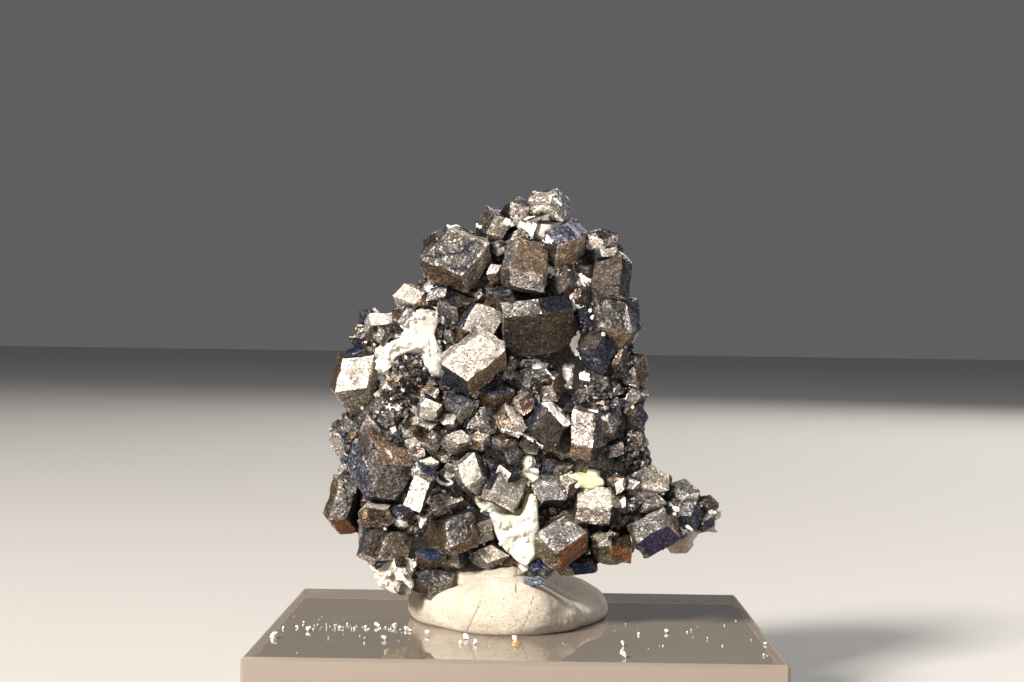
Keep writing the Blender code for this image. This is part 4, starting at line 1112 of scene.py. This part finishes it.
which = chance.choice(len(DRUSE_FINISHES), count, p=list(DRUSE_FINISHES.values()))
druse_looks = looks_of([FINISHES_AND_PAINTED_LIGHT[name] for name in DRUSE_FINISHES])
dress(druse, druse_looks[np.repeat(which, len(shape_faces))], film=np.repeat(white, len(shape)))

# The squared crystal. A squared crystal that leans on the others at the lower left. Its front is painted
# bright, a painted highlight where the sun lit it.
SQUARED_FRONT = ((-10.45, 25.0), (-8.8, 24.25), (-9.9, 21.3), (-11.5, 21.95))
SQUARED_DEPTHS = (-8.0, -8.3, -8.9, -8.6)
SQUARED_RUN = (0.5, 2.4, 0.5)
# Its front, back and four sides as loops of its corners, and the finish of each: the bright front is
# painted light and the darker sides partly painted shade.
SQUARED_SIDES = ((0, 1, 2, 3), (7, 6, 5, 4), (0, 4, 5, 1), (1, 5, 6, 2), (2, 6, 7, 3), (3, 7, 4, 0))
SQUARED_FINISHES_AND_PAINTED_LIGHT = ("bright", "dark", "sand", "brown", "dark", "brown")
SMALL_GRIT = 0.03
solid = bmesh.new()
front = [at_depth(x, z, depth) for (x, z), depth in zip(SQUARED_FRONT, SQUARED_DEPTHS)]
verts = [solid.verts.new(corner) for corner in [*front, *(corner + SQUARED_RUN for corner in front)]]
for loop in SQUARED_SIDES:
    solid.faces.new([verts[i] for i in loop])
block_points, block_triangles, block_sides, _ = cut_small(numbered(solid), np.full(6, FACE_GRAIN))
solid.free()
block_points += SMALL_GRIT * chance.uniform(-1, 1, block_points.shape)
block_points += 0.09 * drift(block_points, 1.1, (51, 52, 53))
block = piece_from(
    "magnetite_squared_crystal", block_points, block_triangles, magnetite, slot="magnetite_crystals"
)
dress(block, looks_of([FINISHES_AND_PAINTED_LIGHT[SQUARED_FINISHES_AND_PAINTED_LIGHT[side]] for side in block_sides]))

# The chip. A splinter of blue-grey magnetite left stuck on the front of the putty.
CHIP_GRAIN = 0.18
CHIP_FINISH = ((0.20, 0.24, 0.33), 0.38, 0.8, 0.2, 0.6)
solid = flat_sides(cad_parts["magnetite_chip"])
chip_points, chip_triangles, _, _ = cut_small(solid, np.full(len(solid.faces), CHIP_GRAIN))
solid.free()
chip_points += SMALL_GRIT * chance.uniform(-1, 1, chip_points.shape)
chip = piece_from(
    "magnetite_splinter", chip_points, chip_triangles, magnetite, ("magnetite_chip",), "magnetite_chip"
)
dress(chip, looks_of([CHIP_FINISH] * len(chip_triangles)))

# The crumbs. White grains of feldspar and one orange flake lie on the slab where they fell, with
# fine dust between them. Each is a small squared grain turned at random.
CRUMB_COLOUR = (0.88, 0.87, 0.84, 1)
FLAKE_COLOUR = (0.75, 0.42, 0.12, 1)
CRUMB_ROUGHNESS = 0.5
# Places on the slab and sizes of the crumbs that are seen one by one.
CRUMBS = (
    (-23.4, -13.2, 0.7), (-20.7, -8.3, 0.6), (-22.0, -6.4, 0.35), (-21.7, -2.9, 0.3), (-23.3, -7.2, 0.3),
    (-18.2, -12.7, 0.4), (-17.8, -6.0, 0.5), (-17.2, -3.8, 0.3), (-16.2, -6.5, 0.4), (-15.2, -5.7, 0.45),
    (-14.1, -4.9, 0.6), (-12.3, -5.4, 0.75), (-11.1, -6.8, 0.4), (-10.6, -7.6, 0.5), (-8.8, -10.0, 0.5),
    (-12.8, -13.4, 0.5), (-4.9, -12.0, 0.6), (-5.3, -15.2, 0.5), (-3.9, -15.1, 0.65), (-0.2, -12.8, 0.6),
    (12.1, -7.6, 0.3), (14.9, -6.0, 0.45), (10.2, -14.9, 0.5), (9.9, -22.1, 0.95), (24.0, -12.8, 0.3),
    (23.1, -19.6, 0.3),
)
FLAKE = (0.0, -15.3, 0.7)
# A crumb is this much smaller than the cube that its size gives, and its corners are off by this much.
CRUMB_SHARE, CORNER_OFF = 0.6, 0.3
DUST_COUNT = 120
DUST_SIZE = (0.05, 0.2)
# Dust keeps this far from the slab's middle at most. It lies round this depth, give or take.
DUST_REACH = 23.5
DUST_DEPTH = (-8.0, 6.0)
# This share of it lies in a streak at the left instead: the middle, and how far it scatters.
DUST_STREAK = (0.45, (-15.5, -5.5), (3.6, 1.1))
# No dust lies on the putty, which takes up the middle to this far sideways and this far forward.
PUTTY_SIDE, PUTTY_FRONT = 9.5, -12.0


def grains_at(spots, sizes, chance):
    """Cubes with corners moved by chance, turned at random, standing on the slab."""
    cube = np.array([(x, y, z) for x in (-0.5, 0.5) for y in (-0.5, 0.5) for z in (-0.5, 0.5)])
    faces = np.array([(0, 1, 3, 2), (4, 6, 7, 5), (0, 4, 5, 1), (2, 3, 7, 6), (0, 2, 6, 4), (1, 5, 7, 3)])
    count = len(spots)
    cubes = cube + chance.uniform(-CORNER_OFF, CORNER_OFF, (count, 8, 3))
    stretches = chance.uniform(0.6, 1.2, (count, 1, 3))
    grains, faces = scattered(cubes, faces, random_turns(count, chance), stretches, CRUMB_SHARE * sizes)
    grains[..., 2] -= grains[..., 2].min(1)[:, None]
    grains += np.column_stack([spots, np.full(count, SLAB_TOP)])[:, None]
    return grains.reshape(-1, 3), faces


crumb_places = np.array(CRUMBS)
dust = np.column_stack([
    chance.uniform(-DUST_REACH, DUST_REACH, DUST_COUNT), chance.normal(*DUST_DEPTH, DUST_COUNT)
])
streak_share, streak_middle, streak_scatter = DUST_STREAK
in_streak = chance.uniform(0, 1, DUST_COUNT) < streak_share
dust[in_streak] = chance.normal(streak_middle, streak_scatter, (in_streak.sum(), 2))
beside = (np.abs(dust[:, 0]) > PUTTY_SIDE) | (dust[:, 1] < PUTTY_FRONT)
dust = dust[beside & (np.abs(dust) < DUST_REACH).all(1)]
spots = np.vstack([crumb_places[:, :2], dust])
sizes = np.concatenate([crumb_places[:, 2], chance.uniform(*DUST_SIZE, len(dust))])
crumb_finish = plain_material("crumbs", CRUMB_COLOUR, CRUMB_ROUGHNESS)[0]
piece_from("feldspar_crumbs", *grains_at(spots, sizes, chance), crumb_finish, slot="feldspar_matrix")
flake_finish = plain_material("orange_flake", FLAKE_COLOUR, CRUMB_ROUGHNESS)[0]
flake = np.array([FLAKE])
flake_grain = grains_at(flake[:, :2], flake[:, 2], chance)
piece_from("orange_flake", *flake_grain, flake_finish, slot="feldspar_matrix")
